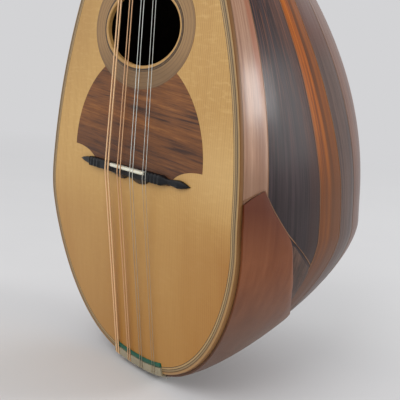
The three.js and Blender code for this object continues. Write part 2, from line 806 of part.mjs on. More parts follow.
// Route through chosen places, whose steps land on them
class Route extends THREE.Curve {
  constructor(places) {
    super();
    this.places = places;
  }

  getPoint(t, target = point(0, 0, 0)) {
    const along = Math.min(Math.max(t, 0), 1) * (this.places.length - 1);
    const index = Math.min(Math.floor(along), this.places.length - 2);
    return target.lerpVectors(this.places[index], this.places[index + 1], along - index);
  }

  getUtoTmapping(u) {
    return u;
  }
}

// Post number from the nut for each string, and its side of the head
const postOfString = [0, 1, 2, 3, 3, 2, 1, 0];
const courseRadii = [gStringRadius, dStringRadius, aStringRadius, eStringRadius];
const stringRadii = courseRadii.flatMap((radius) => [radius, radius]);
const sideOfString = (index) => (index < 4 ? -1 : 1);
const stringSides = 6;

function stringPlaces(index) {
  const radius = stringRadii[index];
  const rest = radius + stringClearance;
  const side = sideOfString(index);
  const atNut = acrossAt(index, nutCourseSpacing, nutPairSpacing);
  const atBridge = acrossAt(index, bridgeCourseSpacing, bridgePairSpacing);
  const x = tailX(index);
  const drumX = side * (postOffset - postRadius - wrapRadius - seam - radius);
  const atPost = point(drumX, -wrapCentre, postHeights[postOfString[index]]).applyMatrix4(headFrame);
  const rimY = (drop) => boardY(tailZ) + drop;
  const edge = -2 * seam - edgeGuardWall - rest;
  const outside = -plateLift - tailpieceThickness - rest;
  const overPlate = (y) => point(x, y, bowlZ(x, y) + outside);
  return [
    atPost,
    point(atNut, nutFall - nutTop - rest, nutDepth),
    point(atNut, -nutTop - rest, 0),
    point(atBridge, -saddleHeight - rest, bridgeZ + saddleLead),
    point(x, boardY(rimZAt(x, edgeGuardWidth)) - edgeGuardProud - rest, rimZAt(x, edgeGuardWidth)),
    point(x, rimY(-edgeGuardProud - rest), rimZAt(x, -edgeGuardWall)),
    point(x, rimY(-edgeGuardProud / 2), rimZAt(x, edge)),
    point(x, rimY(bindingHeight), rimZAt(x, outside)),
    overPlate(tailpieceTop + seam),
    overPlate((tailpieceTop + hookY) / 2),
    overPlate(hookY - hookRadius - seam - radius),
  ];
}

function stringTube(index) {
  const places = stringPlaces(index);
  const corners = Array.from({ length: stringSides }, (_, k) => {
    const angle = (k * 2 * Math.PI) / stringSides;
    return new THREE.Vector2(stringRadii[index] * Math.cos(angle), stringRadii[index] * Math.sin(angle));
  });
  const settings = { steps: places.length - 1, extrudePath: new Route(places), bevelEnabled: false };
  return new THREE.ExtrudeGeometry(new THREE.Shape(corners), settings);
}

// Finishes
const finishes = {
  spruce: { color: 0xc49a60, roughness: 0.45, metalness: 0 },
  rosette: { color: 0x9d805f, roughness: 0.4, metalness: 0 },
  maple: { color: 0xc99f63, roughness: 0.4, metalness: 0 },
  rosewood: { color: 0x6b4634, roughness: 0.35, metalness: 0 },
  darkRosewood: { color: 0x504748, roughness: 0.22, metalness: 0 },
  pinkRosewood: { color: 0xaa8269, roughness: 0.22, metalness: 0 },
  orangeRosewood: { color: 0xa8622e, roughness: 0.22, metalness: 0 },
  greyRosewood: { color: 0x625a56, roughness: 0.22, metalness: 0 },
  purfling: { color: 0x8a8378, roughness: 0.4, metalness: 0 },
  edging: { color: 0x78552f, roughness: 0.35, metalness: 0 },
  mahogany: { color: 0x6e3c2d, roughness: 0.25, metalness: 0 },
  ebony: { color: 0x17191c, roughness: 0.35, metalness: 0 },
  bone: { color: 0xd9d3bd, roughness: 0.4, metalness: 0 },
  felt: { color: 0x14644f, roughness: 0.95, metalness: 0 },
  insideWood: { color: 0xb08a5c, roughness: 0.7, metalness: 0 },
  bronze: { color: 0xc8995c, roughness: 0.35, metalness: 0.9 },
  steel: { color: 0xc8c8c4, roughness: 0.3, metalness: 0.95 },
  nickel: { color: 0xb5b3ab, roughness: 0.25, metalness: 0.95 },
};

const instrument = new THREE.Group();
const head = new THREE.Group();
head.applyMatrix4(headFrame);
instrument.add(head);

function place(name, geometry, finish, parent = instrument, position = point(0, 0, 0)) {
  const mesh = new THREE.Mesh(geometry, new THREE.MeshStandardMaterial(finishes[finish]));
  mesh.name = name;
  mesh.position.copy(position);
  parent.add(mesh);
}

// Face of the body
place('soundboard', soundboard(), 'spruce');
place('hole_ring', holeRing(), 'maple');
place('rosette', rosette(), 'rosette');
place('pickguard', pickguard(), 'rosewood');
place('edge_purfling', purfling(), 'purfling');
place('edge_binding', binding(), 'edging');

// Inside of the body
place('lining_left', lining(-1), 'insideWood');
place('lining_right', lining(1), 'insideWood');
place('brace_upper', brace(holeZ + braceFromHole), 'insideWood');
place('brace_lower', brace(holeZ - braceFromHole), 'insideWood');
place('neck_block', neckBlock(), 'insideWood');
place('tail_block', tailBlock(), 'insideWood');

// Staves from each rim to the keel
const staveWoods = ['pink', 'dark', 'orange', 'grey', 'pink', 'dark'];
const jointAngles = ribJointShares.map((share) => (share * Math.PI) / 2);
staveWoods.forEach((wood, i) => {
  const finish = `${wood}Rosewood`;
  const [from, to] = [jointAngles[i], jointAngles[i + 1]];
  place(`rib_right_${i + 1}`, stave(from, to, ribSteps[i]), finish);
  place(`rib_left_${i + 1}`, stave(Math.PI - to, Math.PI - from, ribSteps[i]), finish);
});
place('rib_keel', stave(jointAngles.at(-1), Math.PI - jointAngles.at(-1), keelSteps), 'orangeRosewood');

// Tail end
place('tail_clasp', clasp(), 'mahogany');
place('tail_edge_guard', edgeGuard(), 'bone');
place('felt_strip', felt(), 'felt');
place('tailpiece', tailpiece(), 'nickel');

// Neck and what lies on it
place('neck', neckAndHead(), 'mahogany');
place('fingerboard', fingerboard(), 'ebony');
place('nut', nut(), 'bone');

// Floating bridge
place('bridge', bridge(), 'ebony', instrument, point(0, 0, bridgeZ));
place('saddle', saddle(), 'bone', instrument, point(0, 0, bridgeZ));

// Tuners on the head, in its tilted frame
place('tuner_plate_left', tunerPlate(-1), 'nickel', head);
place('tuner_plate_right', tunerPlate(1), 'nickel', head);
stringNames.forEach((name, index) => {
  const side = sideOfString(index);
  const height = postHeights[postOfString[index]];
  place(`post_${name}`, post(), 'nickel', head, point(side * postOffset, 0, height));
  const above = height + centreDistance;
  place(`button_${name}`, buttonAndWorm(side), 'bone', head, point(side * postOffset, 0, above));
});

// Strings
stringNames.forEach((name, index) => {
  place(`string_${name}`, stringTube(index), index < 4 ? 'bronze' : 'steel');
});

export default instrument;
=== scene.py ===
import math

import bmesh
import bpy
import numpy as np
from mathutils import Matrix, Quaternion, Vector
from mathutils.geometry import tessellate_polygon


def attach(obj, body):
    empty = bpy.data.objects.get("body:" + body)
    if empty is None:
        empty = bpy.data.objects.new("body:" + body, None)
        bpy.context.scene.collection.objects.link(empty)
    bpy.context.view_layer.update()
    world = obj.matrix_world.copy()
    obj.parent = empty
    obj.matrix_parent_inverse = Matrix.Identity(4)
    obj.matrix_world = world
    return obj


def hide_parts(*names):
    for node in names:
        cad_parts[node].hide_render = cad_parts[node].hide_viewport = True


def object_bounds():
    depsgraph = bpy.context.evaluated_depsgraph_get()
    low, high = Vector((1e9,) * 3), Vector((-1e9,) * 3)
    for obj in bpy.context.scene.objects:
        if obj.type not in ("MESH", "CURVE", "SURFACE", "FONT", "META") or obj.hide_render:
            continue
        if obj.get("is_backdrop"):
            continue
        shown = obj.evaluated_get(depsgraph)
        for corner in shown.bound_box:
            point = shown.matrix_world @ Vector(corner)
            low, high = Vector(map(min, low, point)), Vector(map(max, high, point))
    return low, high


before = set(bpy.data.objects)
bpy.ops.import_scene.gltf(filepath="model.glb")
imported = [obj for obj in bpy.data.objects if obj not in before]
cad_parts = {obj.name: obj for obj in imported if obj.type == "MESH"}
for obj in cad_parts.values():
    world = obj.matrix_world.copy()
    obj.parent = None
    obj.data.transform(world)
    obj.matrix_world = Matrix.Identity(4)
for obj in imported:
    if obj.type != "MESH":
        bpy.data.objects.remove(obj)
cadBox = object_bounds()
pi = math.pi
mm = 0.001  # all shapes below are worked out in millimetres
rides = "instrument_body"
weldReach = 2e-6  # metres
print("frame loaded")


# meshes

def gridShape(points, loopRows=False, loopColumns=True, uv=None, caps=True):
    # a closed skin over a grid of points, row joined to row; uv has one more row or column than a looped grid
    rows, columns = points.shape[:2]
    i, j = np.meshgrid(np.arange(rows - 1 + loopRows), np.arange(columns - 1 + loopColumns), indexing="ij")
    corner = lambda di, dj: ((i + di) % rows) * columns + (j + dj) % columns
    quads = np.stack([corner(0, 0), corner(0, 1), corner(1, 1), corner(1, 0)], -1).reshape(-1, 4)
    flat = points.reshape(-1, 3)
    faces = quads.tolist()
    capLoops = []
    if caps and not loopRows:
        capLoops = [list(range(columns))[::-1], [(rows - 1) * columns + k for k in range(columns)]]
    a, b, c, d = (flat[quads[:, k]] for k in range(4))
    volume = np.einsum("ij,ij->", a, np.cross(b, c)) + np.einsum("ij,ij->", a, np.cross(c, d))
    for loop in capLoops:
        ring = flat[loop]
        volume += np.einsum("ij,ij->", np.broadcast_to(ring[0], ring[1:-1].shape), np.cross(ring[1:-1], ring[2:]))
    faces += capLoops
    coords = None
    if uv is not None:
        pick = lambda di, dj: uv[i + di, j + dj].reshape(-1, 2)
        square = np.stack([pick(0, 0), pick(0, 1), pick(1, 1), pick(1, 0)], 1)
        coords = [list(map(tuple, face)) for face in square]
        for loop in capLoops:
            coords.append([tuple(uv[k // columns, k % columns]) for k in loop])
    if volume < 0:
        faces = [face[::-1] for face in faces]
        coords = coords and [face[::-1] for face in coords]
    return {"points": flat, "faces": faces, "uv": coords}


def at(x, y, z):
    # points from their three coordinates, whichever of them vary
    return np.stack(np.broadcast_arrays(x, y, z), -1)


def surfaceMap(along, across):
    # surface coordinates of a grid, from the distances along its rows and its columns
    return np.stack(np.meshgrid(along, across, indexing="ij"), -1)


def makePiece(name, shapes, finish, on=rides, instead=(), slot=None, crease=38, weld=False):
    # one object from one or more closed shapes
    shapes = shapes if isinstance(shapes, list) else [shapes]
    points, faces, coords, start = [], [], [], 0
    for shape in shapes:
        points.append(shape["points"])
        faces += [[start + k for k in face] for face in shape["faces"]]
        blank = [[(0.0, 0.0)] * len(face) for face in shape["faces"]]
        coords += [pair for face in (shape["uv"] or blank) for pair in face]
        start += len(shape["points"])
    mesh = bpy.data.meshes.new(name)
    mesh.from_pydata((np.concatenate(points) * mm).tolist(), [], faces)
    layer = mesh.uv_layers.new(name="along")
    layer.data.foreach_set("uv", np.array(coords, np.float32).ravel() * mm)
    if weld:
        work = bmesh.new()
        work.from_mesh(mesh)
        bmesh.ops.remove_doubles(work, verts=work.verts, dist=weldReach)
        bmesh.ops.dissolve_degenerate(work, edges=work.edges, dist=weldReach / 2)
        bmesh.ops.recalc_face_normals(work, faces=work.faces)
        work.to_mesh(mesh)
        work.free()
    mesh.shade_smooth()
    mesh.set_sharp_from_angle(angle=math.radians(crease))
    mesh.materials.append(finish)
    piece = bpy.data.objects.new(name, mesh)
    bpy.context.scene.collection.objects.link(piece)
    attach(piece, on)
    if instead:
        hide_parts(*instead)
    return piece


def roundedSection(x0, x1, y0, y1, radius, steps=4):
    # corners of a rectangle drawn as quarter circles
    turns = np.linspace(0, pi / 2, steps)
    corners = [(x1 - radius, y1 - radius, 0), (x0 + radius, y1 - radius, 1),
               (x0 + radius, y0 + radius, 2), (x1 - radius, y0 + radius, 3)]
    return np.array([(x + radius * math.cos(turn + k * pi / 2), y + radius * math.sin(turn + k * pi / 2))
                     for x, y, k in corners for turn in turns])


def slab(x0, x1, y0, y1, z0, z1, radius=0.3):
    # a block with rounded edges along z
    section = roundedSection(x0, x1, y0, y1, radius)
    rows = [np.column_stack([section, np.full(len(section), z)]) for z in (z0, z1)]
    return gridShape(np.array(rows))


def lathe(profile, sides=32, axis="y", centre=(0, 0, 0)):
    # radius and height pairs turned about an axis
    profile = np.array(profile, float)
    turn = fullTurn(sides)
    radius, height = profile[:, 0, None], profile[:, 1, None] + 0 * turn
    a, b = radius * np.cos(turn), radius * np.sin(turn)
    order = {"y": (a, height, b), "x": (height, a, b), "z": (a, b, height)}[axis]
    return gridShape(np.stack(order, -1) + np.array(centre, float))


cornerShare = 0.48  # the most that one corner may take of a side


def softCorners(places, cut, steps=6):
    # a polyline whose inner corners become parabolas, cut back by the given length at each side
    places = np.array(places, float)
    cut = np.broadcast_to(cut, len(places))
    share = np.linspace(0, 1, steps)[:, None]
    path = [places[:1]]
    for k in range(1, len(places) - 1):
        back, ahead = places[k - 1] - places[k], places[k + 1] - places[k]
        reach = min(cut[k], np.linalg.norm(back) * cornerShare, np.linalg.norm(ahead) * cornerShare)
        start = places[k] + back / np.linalg.norm(back) * reach
        end = places[k] + ahead / np.linalg.norm(ahead) * reach
        path.append((1 - share) ** 2 * start + 2 * share * (1 - share) * places[k] + share ** 2 * end)
    return np.concatenate(path + [places[-1:]])


def fullTurn(count):
    # angles once round, the last one short of the first
    return np.linspace(0, 2 * pi, count, endpoint=False)


def distances(path):
    # distance run along a path at each of its points
    return np.concatenate([[0], np.cumsum(np.linalg.norm(np.diff(path, axis=0), axis=1))])


def tube(path, radius, sides=10, side=(1.0, 0.0, 0.0)):
    # a circle carried along a path, its first normal kept square to the path from a fixed side direction
    path = np.array(path, float)
    along = np.gradient(path, axis=0)
    along /= np.linalg.norm(along, axis=1, keepdims=True)
    first = np.array(side) - along * (along @ np.array(side))[:, None]
    first /= np.linalg.norm(first, axis=1, keepdims=True)
    second = np.cross(along, first)
    turn = fullTurn(sides)[None, :, None]
    ring = first[:, None] * np.cos(turn) + second[:, None] * np.sin(turn)
    girth = np.linspace(0, 2 * pi * radius, sides + 1)
    return gridShape(path[:, None] + ring * radius, uv=surfaceMap(distances(path), girth))


def smoothThrough(places, count):
    # a smooth curve through the places, each span a cubic whose slopes come from the neighbours
    places = np.array(places, float)
    slope = np.gradient(places, axis=0)
    slope[0], slope[-1] = places[1] - places[0], places[-1] - places[-2]
    where = np.linspace(0, len(places) - 1, count)
    k = np.minimum(where.astype(int), len(places) - 2)
    s = (where - k)[:, None]
    return ((2 * s ** 3 - 3 * s ** 2 + 1) * places[k] + (s ** 3 - 2 * s ** 2 + s) * slope[k]
            + (3 * s ** 2 - 2 * s ** 3) * places[k + 1] + (s ** 3 - s ** 2) * slope[k + 1])


# finishes

class Wire:
    # a number or colour socket that can stand in a sum
    def __init__(self, finish, socket):
        self.finish, self.socket = finish, socket

    def sum(self, operation, first, second):
        return self.finish.maths(operation, first, second)

    def __add__(self, other): return self.sum("ADD", self, other)
    def __radd__(self, other): return self.sum("ADD", other, self)
    def __sub__(self, other): return self.sum("SUBTRACT", self, other)
    def __rsub__(self, other): return self.sum("SUBTRACT", other, self)
    def __mul__(self, other): return self.sum("MULTIPLY", self, other)
    def __rmul__(self, other): return self.sum("MULTIPLY", other, self)
    def __truediv__(self, other): return self.sum("DIVIDE", self, other)


class Finish:
    # one material, its nodes made by name
    def __init__(self, name):
        self.material = bpy.data.materials.new(name)
        self.material.use_nodes = True
        self.nodes, self.links = self.material.node_tree.nodes, self.material.node_tree.links
        self.nodes.clear()
        self.end = self.nodes.new("ShaderNodeOutputMaterial")

    def node(self, kind, settings=None, inputs=None, out=0):
        made = self.nodes.new(kind)
        for key, value in (settings or {}).items():
            if key == "stops":
                ramp = made.color_ramp
                while len(ramp.elements) < len(value):
                    ramp.elements.new(0.5)
                for stop, (place, colour) in zip(ramp.elements, value):
                    stop.position, stop.color = place, (*colour, 1)
            elif key == "ramp":
                made.color_ramp.interpolation = value
            else:
                setattr(made, key, value)
        for key, value in (inputs or {}).items():
            if isinstance(value, Wire):
                self.links.new(value.socket, made.inputs[key])
            else:
                made.inputs[key].default_value = value
        return Wire(self, made.outputs[out])

    def mix(self, factor, low, high, blend="MIX"):
        low, high = (c if isinstance(c, Wire) else (*c, 1) for c in (low, high))
        return self.node("ShaderNodeMix", {"data_type": "RGBA", "blend_type": blend}, {0: factor, 6: low, 7: high}, 2)

    def place(self, source, scale=(1, 1, 1), turn=(0, 0, 0)):
        texture = self.node("ShaderNodeTexCoord", out=source)
        return self.node("ShaderNodeMapping", {}, {"Vector": texture, "Scale": scale, "Rotation": turn})

    def axis(self, source, index):
        # one coordinate of a place, 0 to 2
        return self.node("ShaderNodeSeparateXYZ", {}, {0: self.place(source)}, index)

    def maths(self, operation, *values):
        return self.node("ShaderNodeMath", {"operation": operation}, dict(enumerate(values)))

    def noise(self, vector, detail=2.0, rough=0.5, warp=0.0):
        return self.node("ShaderNodeTexNoise", {}, {
            "Vector": vector, "Scale": 1.0, "Detail": detail, "Roughness": rough, "Distortion": warp})

    def ramp(self, value, stops, kind="LINEAR"):
        return self.node("ShaderNodeValToRGB", {"ramp": kind, "stops": stops}, {0: value})

    def spread(self, value, low, high, toLow=0.0, toHigh=1.0):
        return self.node("ShaderNodeMapRange", {"clamp": True}, {0: value, 1: low, 2: high, 3: toLow, 4: toHigh})

    def bump(self, height, depth, strength=1.0):
        return self.node("ShaderNodeBump", {}, {"Height": height, "Distance": depth, "Strength": strength})

    def surface(self, fixed, linked):
        shader = self.node("ShaderNodeBsdfPrincipled", {}, {**fixed, **linked})
        self.links.new(shader.socket, self.end.inputs["Surface"])
        return self.material


def paint(red, green, blue):
    # a colour as it looks on screen, 0 to 255, as the linear value that a shader takes
    shares = np.array([red, green, blue]) / 255
    return tuple(np.where(shares <= 0.04045, shares / 12.92, ((shares + 0.055) / 1.055) ** 2.4).tolist())


onObject, onSurface = 3, 2  # outputs of Texture Coordinate


grain = {"wander": (6, 0.6), "broad": (4, 1.6), "poreRun": 0.12, "bandShare": 0.62, "broadShare": 0.38,
         "wanderShare": 0.25, "tone": (0.36, 0.64),
         "pore": (0.5, 0.68), "poreDepth": 0.7, "toneRise": 0.15, "bump": 0.6, "shine": (0.3, 0.7),
         "roughShares": (0.85, 1.2)}


def woodFinish(name, look):
    # along is the grain's direction: streaks and pores are noise drawn out along it
    wood = Finish(name)
    fine, streak, length = look["fine"], look["streak"], look["length"]
    turned = wood.place(look.get("on", onSurface), turn=look.get("turn", (0, 0, 0)))
    drawn = lambda size, run: wood.node("ShaderNodeMapping", {}, {
        "Vector": turned, "Scale": look["lay"](1 / (size * mm), 1 / (run * mm)),
        "Location": look.get("shift", (0, 0, 0))})
    wander = wood.noise(drawn(streak * grain["wander"][0], length * grain["wander"][1]), 2)
    bands = wood.noise(drawn(streak, length), 5, 0.55, look.get("swirl", 0.4))
    broad = wood.noise(drawn(streak * grain["broad"][0], length * grain["broad"][1]), 3, 0.5, 0.3)
    pores = wood.noise(drawn(fine, length * grain["poreRun"]), 3, 0.6)
    mixed = bands * grain["bandShare"] + broad * grain["broadShare"] + (wander - 0.5) * grain["wanderShare"]
    tone, pore = wood.spread(mixed, *grain["tone"]), wood.spread(pores, *grain["pore"])
    colour = wood.mix(pore * look["pore"], wood.ramp(tone, look["colours"]), look["poreColour"])
    for extra in look.get("extra", []):
        colour = extra(wood, colour)
    height = 1 - pore * grain["poreDepth"] + tone * grain["toneRise"]
    shine = wood.spread(broad, *grain["shine"], *(look["roughness"] * share for share in grain["roughShares"]))
    return wood.surface(
        {"Coat Roughness": look.get("coatRoughness", 0.12), "Coat IOR": 1.5,
         "Specular IOR Level": look.get("gloss", 0.25)},
        {"Base Color": colour, "Roughness": shine, "Coat Weight": look.get("coat", 0.5),
         "Normal": wood.bump(height, look.get("relief", 0.03) * mm, grain["bump"])})


alongUv = lambda across, along: (along, across, 1)       # grain runs with the first surface coordinate
alongZ = lambda across, along: (across, across, along)   # grain runs up the instrument
alongX = lambda across, along: (along, across, across)   # grain runs across the instrument


stripe = {"wander": 0.12, "wanderRun": (12, 1, 1), "core": 0.4}
fleck = {"size": (26, 700, 1), "from": 0.5, "to": 0.66}


def heightShare(wood, low, high):
    # 0 to 1 from one height of the instrument to another, in millimetres
    return wood.spread(wood.axis(onObject, 2), low * mm, high * mm)


def darkStripe(centre, width, colour, strength, low=None, high=None):
    # a stripe along a stave, centred at a share of its width, and kept to one end where two heights are given
    def extra(wood, before):
        coords = wood.node("ShaderNodeUVMap", {"uv_map": "share"})
        across = wood.node("ShaderNodeSeparateXYZ", {}, {0: coords}, 1)
        wander = wood.noise(wood.place(onSurface, stripe["wanderRun"]), 2)
        off = wood.maths("ABSOLUTE", across - centre + (wander - 0.5) * stripe["wander"])
        band = wood.spread(off, width * stripe["core"], width, 1, 0)
        if low is not None:
            band = band * heightShare(wood, low, high)
        return wood.mix(band * strength, before, colour)
    return extra


def heightTint(low, high, colour, strength):
    # a colour that grows from one height of the instrument to another
    def extra(wood, before):
        return wood.mix(heightShare(wood, low, high) * strength, before, colour)
    return extra


def flecks(low, high, colour, strength):
    # short streaks of another colour, denser towards one end of the instrument
    def extra(wood, before):
        streaks = wood.spread(wood.noise(wood.place(onSurface, fleck["size"]), 4, 0.6, 0.6), fleck["from"], fleck["to"])
        return wood.mix(streaks * heightShare(wood, low, high) * strength, before, colour)
    return extra


def staveWood(name, light, base, dark, pore, streak=1.8, shift=0.0, extra=(), coat=0.1, gloss=0.13):
    return woodFinish(name, {
        "fine": 0.35, "streak": streak, "length": 110, "lay": alongUv, "shift": (shift, shift * 0.7, 0),
        "colours": [(0.0, dark), (0.5, base), (1.0, light)], "pore": 0.4, "poreColour": pore, "gloss": gloss,
        "roughness": 0.36, "coat": coat, "coatRoughness": 0.2, "relief": 0.02, "extra": list(extra)})


woods = {
    "pink": lambda shift: staveWood("pinkRosewood", paint(182, 142, 116), paint(163, 123, 97), paint(138, 98, 74),
                                    paint(96, 64, 48), shift=shift, coat=0.3, gloss=0.2,
                                    extra=[darkStripe(0.86, 0.2, paint(146, 84, 54), 0.75, -288, -262),
                                           heightTint(-290, -345, paint(142, 100, 76), 0.6),
                                           heightTint(-308, -322, paint(124, 92, 70), 0.5)]),
    "dark": lambda shift: staveWood("darkRosewood", paint(66, 51, 53), paint(46, 34, 36), paint(31, 23, 25),
                                    paint(20, 15, 17), shift=shift, coat=0.15,
                                    extra=[darkStripe(0.9, 0.2, paint(78, 44, 30), 0.4),
                                           darkStripe(0.8, 0.34, paint(84, 50, 34), 0.5, -262, -225),
                                           flecks(-320, -235, paint(122, 72, 50), 0.75),
                                           heightTint(-318, -335, paint(20, 14, 16), 0.35)]),
    "orange": lambda shift: staveWood("orangeRosewood", paint(192, 108, 8), paint(158, 80, 6), paint(106, 52, 8),
                                      paint(70, 36, 10), shift=shift, streak=2.4, coat=0.04, gloss=0.09,
                                      extra=[darkStripe(0.84, 0.3, paint(110, 62, 28), 0.75),
                                             darkStripe(0.56, 0.13, paint(68, 40, 20), 0.75),
                                             heightTint(-266, -332, paint(94, 59, 36), 0.78),
                                             heightTint(-352, -384, paint(92, 67, 56), 0.75)]),
    "grey": lambda shift: staveWood("greyRosewood", paint(102, 81, 72), paint(82, 61, 53), paint(55, 41, 38),
                                    paint(36, 28, 28), shift=shift,
                                    extra=[heightTint(-258, -242, paint(86, 42, 22), 0.7)]),
    "rose": lambda shift: staveWood("roseRosewood", paint(130, 96, 82), paint(112, 81, 68), paint(87, 59, 49),
                                    paint(64, 44, 36), shift=shift,
                                    extra=[heightTint(-308, -332, paint(90, 62, 52), 0.6)]),
}
ebony = woodFinish("ebony", {
    "fine": 0.25, "streak": 1.2, "length": 60, "lay": alongX, "on": onObject,
    "colours": [(0, paint(7, 8, 11)), (0.6, paint(13, 15, 19)), (1, paint(24, 27, 32))], "pore": 0.5,
    "poreColour": paint(5, 5, 7), "roughness": 0.34, "coat": 0.04, "gloss": 0.16})
ebonyUp = woodFinish("ebonyUpright", {
    "fine": 0.25, "streak": 1.2, "length": 60, "lay": alongZ, "on": onObject,
    "colours": [(0, paint(24, 23, 24)), (0.6, paint(36, 34, 34)), (1, paint(50, 46, 44))], "pore": 0.5,
    "poreColour": paint(12, 12, 14), "roughness": 0.36, "coat": 0.15})
# the clasp's second tint, greyer towards the bottom, is a painted reflection of the floor
claspWood = woodFinish("claspMahogany", {
    "fine": 0.3, "streak": 5, "length": 220, "lay": alongZ, "on": onObject, "shift": (0.4, 0, 0.3),
    "colours": [(0, paint(108, 59, 34)), (0.5, paint(119, 68, 40)), (1, paint(129, 77, 48))], "pore": 0.2,
    "gloss": 0.13, "poreColour": paint(86, 46, 28), "roughness": 0.36, "coat": 0.1, "coatRoughness": 0.2,
    "swirl": 0.1,
    "extra": [heightTint(-362, -335, paint(72, 22, 8), 0.72), heightTint(-370, -412, paint(102, 81, 69), 0.7)]})
endWood = woodFinish("endVeneer", {
    "fine": 0.3, "streak": 2.2, "length": 90, "lay": alongZ, "on": onObject,
    "colours": [(0, paint(50, 36, 31)), (0.5, paint(71, 50, 40)), (1, paint(92, 66, 53))], "pore": 0.4, "gloss": 0.13,
    "poreColour": paint(38, 27, 22), "roughness": 0.34, "coat": 0.12, "coatRoughness": 0.16, "swirl": 0.3})
neckWood = woodFinish("neckMahogany", {
    "fine": 0.32, "streak": 3.5, "length": 90, "lay": alongZ, "on": onObject,
    "colours": [(0, paint(92, 52, 36)), (0.5, paint(122, 72, 48)), (1, paint(148, 92, 62))], "pore": 0.45,
    "poreColour": paint(66, 36, 26), "roughness": 0.36, "coat": 0.5})
guardWood = woodFinish("guardRosewood", {
    "fine": 0.3, "streak": 2.0, "length": 60, "lay": alongX, "on": onObject, "turn": (0, -0.07, 0),
    "colours": [(0, paint(64, 40, 28)), (0.3, paint(106, 66, 38)), (0.7, paint(128, 80, 43)), (1, paint(147, 96, 53))],
    "pore": 0.45, "poreColour": paint(46, 31, 25), "roughness": 0.42, "coat": 0.06, "gloss": 0.14, "swirl": 1.1,
    "extra": [heightTint(-300, -330, paint(64, 46, 42), 0.5)]})
guardUp = woodFinish("headRosewood", {
    "fine": 0.3, "streak": 2.4, "length": 70, "lay": alongZ, "on": onObject,
    "colours": [(0, paint(58, 40, 38)), (0.4, paint(92, 62, 50)), (1, paint(128, 86, 66))], "pore": 0.4,
    "poreColour": paint(46, 32, 30), "roughness": 0.38, "coat": 0.45, "swirl": 0.8})
insideWood = woodFinish("insideWood", {
    "fine": 0.4, "streak": 2.2, "length": 80, "lay": alongX, "on": onObject,
    "colours": [(0, paint(150, 116, 76)), (1, paint(188, 152, 106))], "pore": 0.3,
    "poreColour": paint(120, 88, 56), "roughness": 0.75, "coat": 0.0})
# the staves' inner faces: dark colours that paint the shade inside the bowl
insideShade = woodFinish("insideShade", {
    "fine": 0.4, "streak": 2.2, "length": 80, "lay": alongZ, "on": onObject,
    "colours": [(0, paint(30, 24, 20)), (1, paint(48, 38, 32))], "pore": 0.3,
    "poreColour": paint(22, 18, 15), "roughness": 0.8, "coat": 0.0, "gloss": 0.1})


spruceLook = {
    "ground": (paint(182, 139, 77), paint(204, 164, 100)), "late": paint(154, 108, 56), "silk": paint(216, 178, 116),
    # on the next line: two colours of painted shade below the bend, then painted shade at the upper left and painted
    # light at the right
    "shadeAndTone": paint(160, 106, 42), "rightShade": paint(156, 98, 40), "shaded": paint(148, 106, 52), "lit": paint(218, 182, 124),
    # how fine each noise is along x, y and z, and the part of its range that is used
    "driftSize": (6, 6, 5), "strengthSize": (260, 260, 3), "silkSize": (130, 130, 430), "cloudSize": (9, 9, 5),
    "broadSize": (34, 34, 2.5), "strength": (0.35, 0.7, 0.25, 1), "cloud": (0.25, 0.75), "silken": (0.5, 0.72),
    "rightShadeBroad": (0.35, 0.6, 0.3, 0.6), "toneBroad": (0.5, 0.68), "rough": (0.3, 0.7, 0.34, 0.46),
    "lateRise": -0.5, "silkRise": 0.3, "relief": 0.03, "bump": 0.5,
    # growth lines to the metre, how they widen outwards and how far they wander, then where each tint, painted shade
    # and painted light lies, in metres
    "years": 780, "closing": 1500, "drift": 0.0035,
    "lateStart": (0.45, 0.92), "lateEnd": (0.94, 1.0), "lateShare": 0.55, "silkHigh": (-0.37, -0.28, 0.12, 0.4),
    "bend": (-0.342, -0.366), "rightShadeAcross": (0.05, 0.085), "down": (-0.32, -0.45), "shadeToneShares": (0.14, 0.5, 0.16),
    "shadedLeft": (-0.02, -0.06), "shadedHigh": (-0.3, -0.255), "shadedShare": 0.3,
    "litRight": (0.03, 0.075), "litAbove": (-0.348, -0.325), "litBelow": (-0.288, -0.314), "litShare": 0.4}


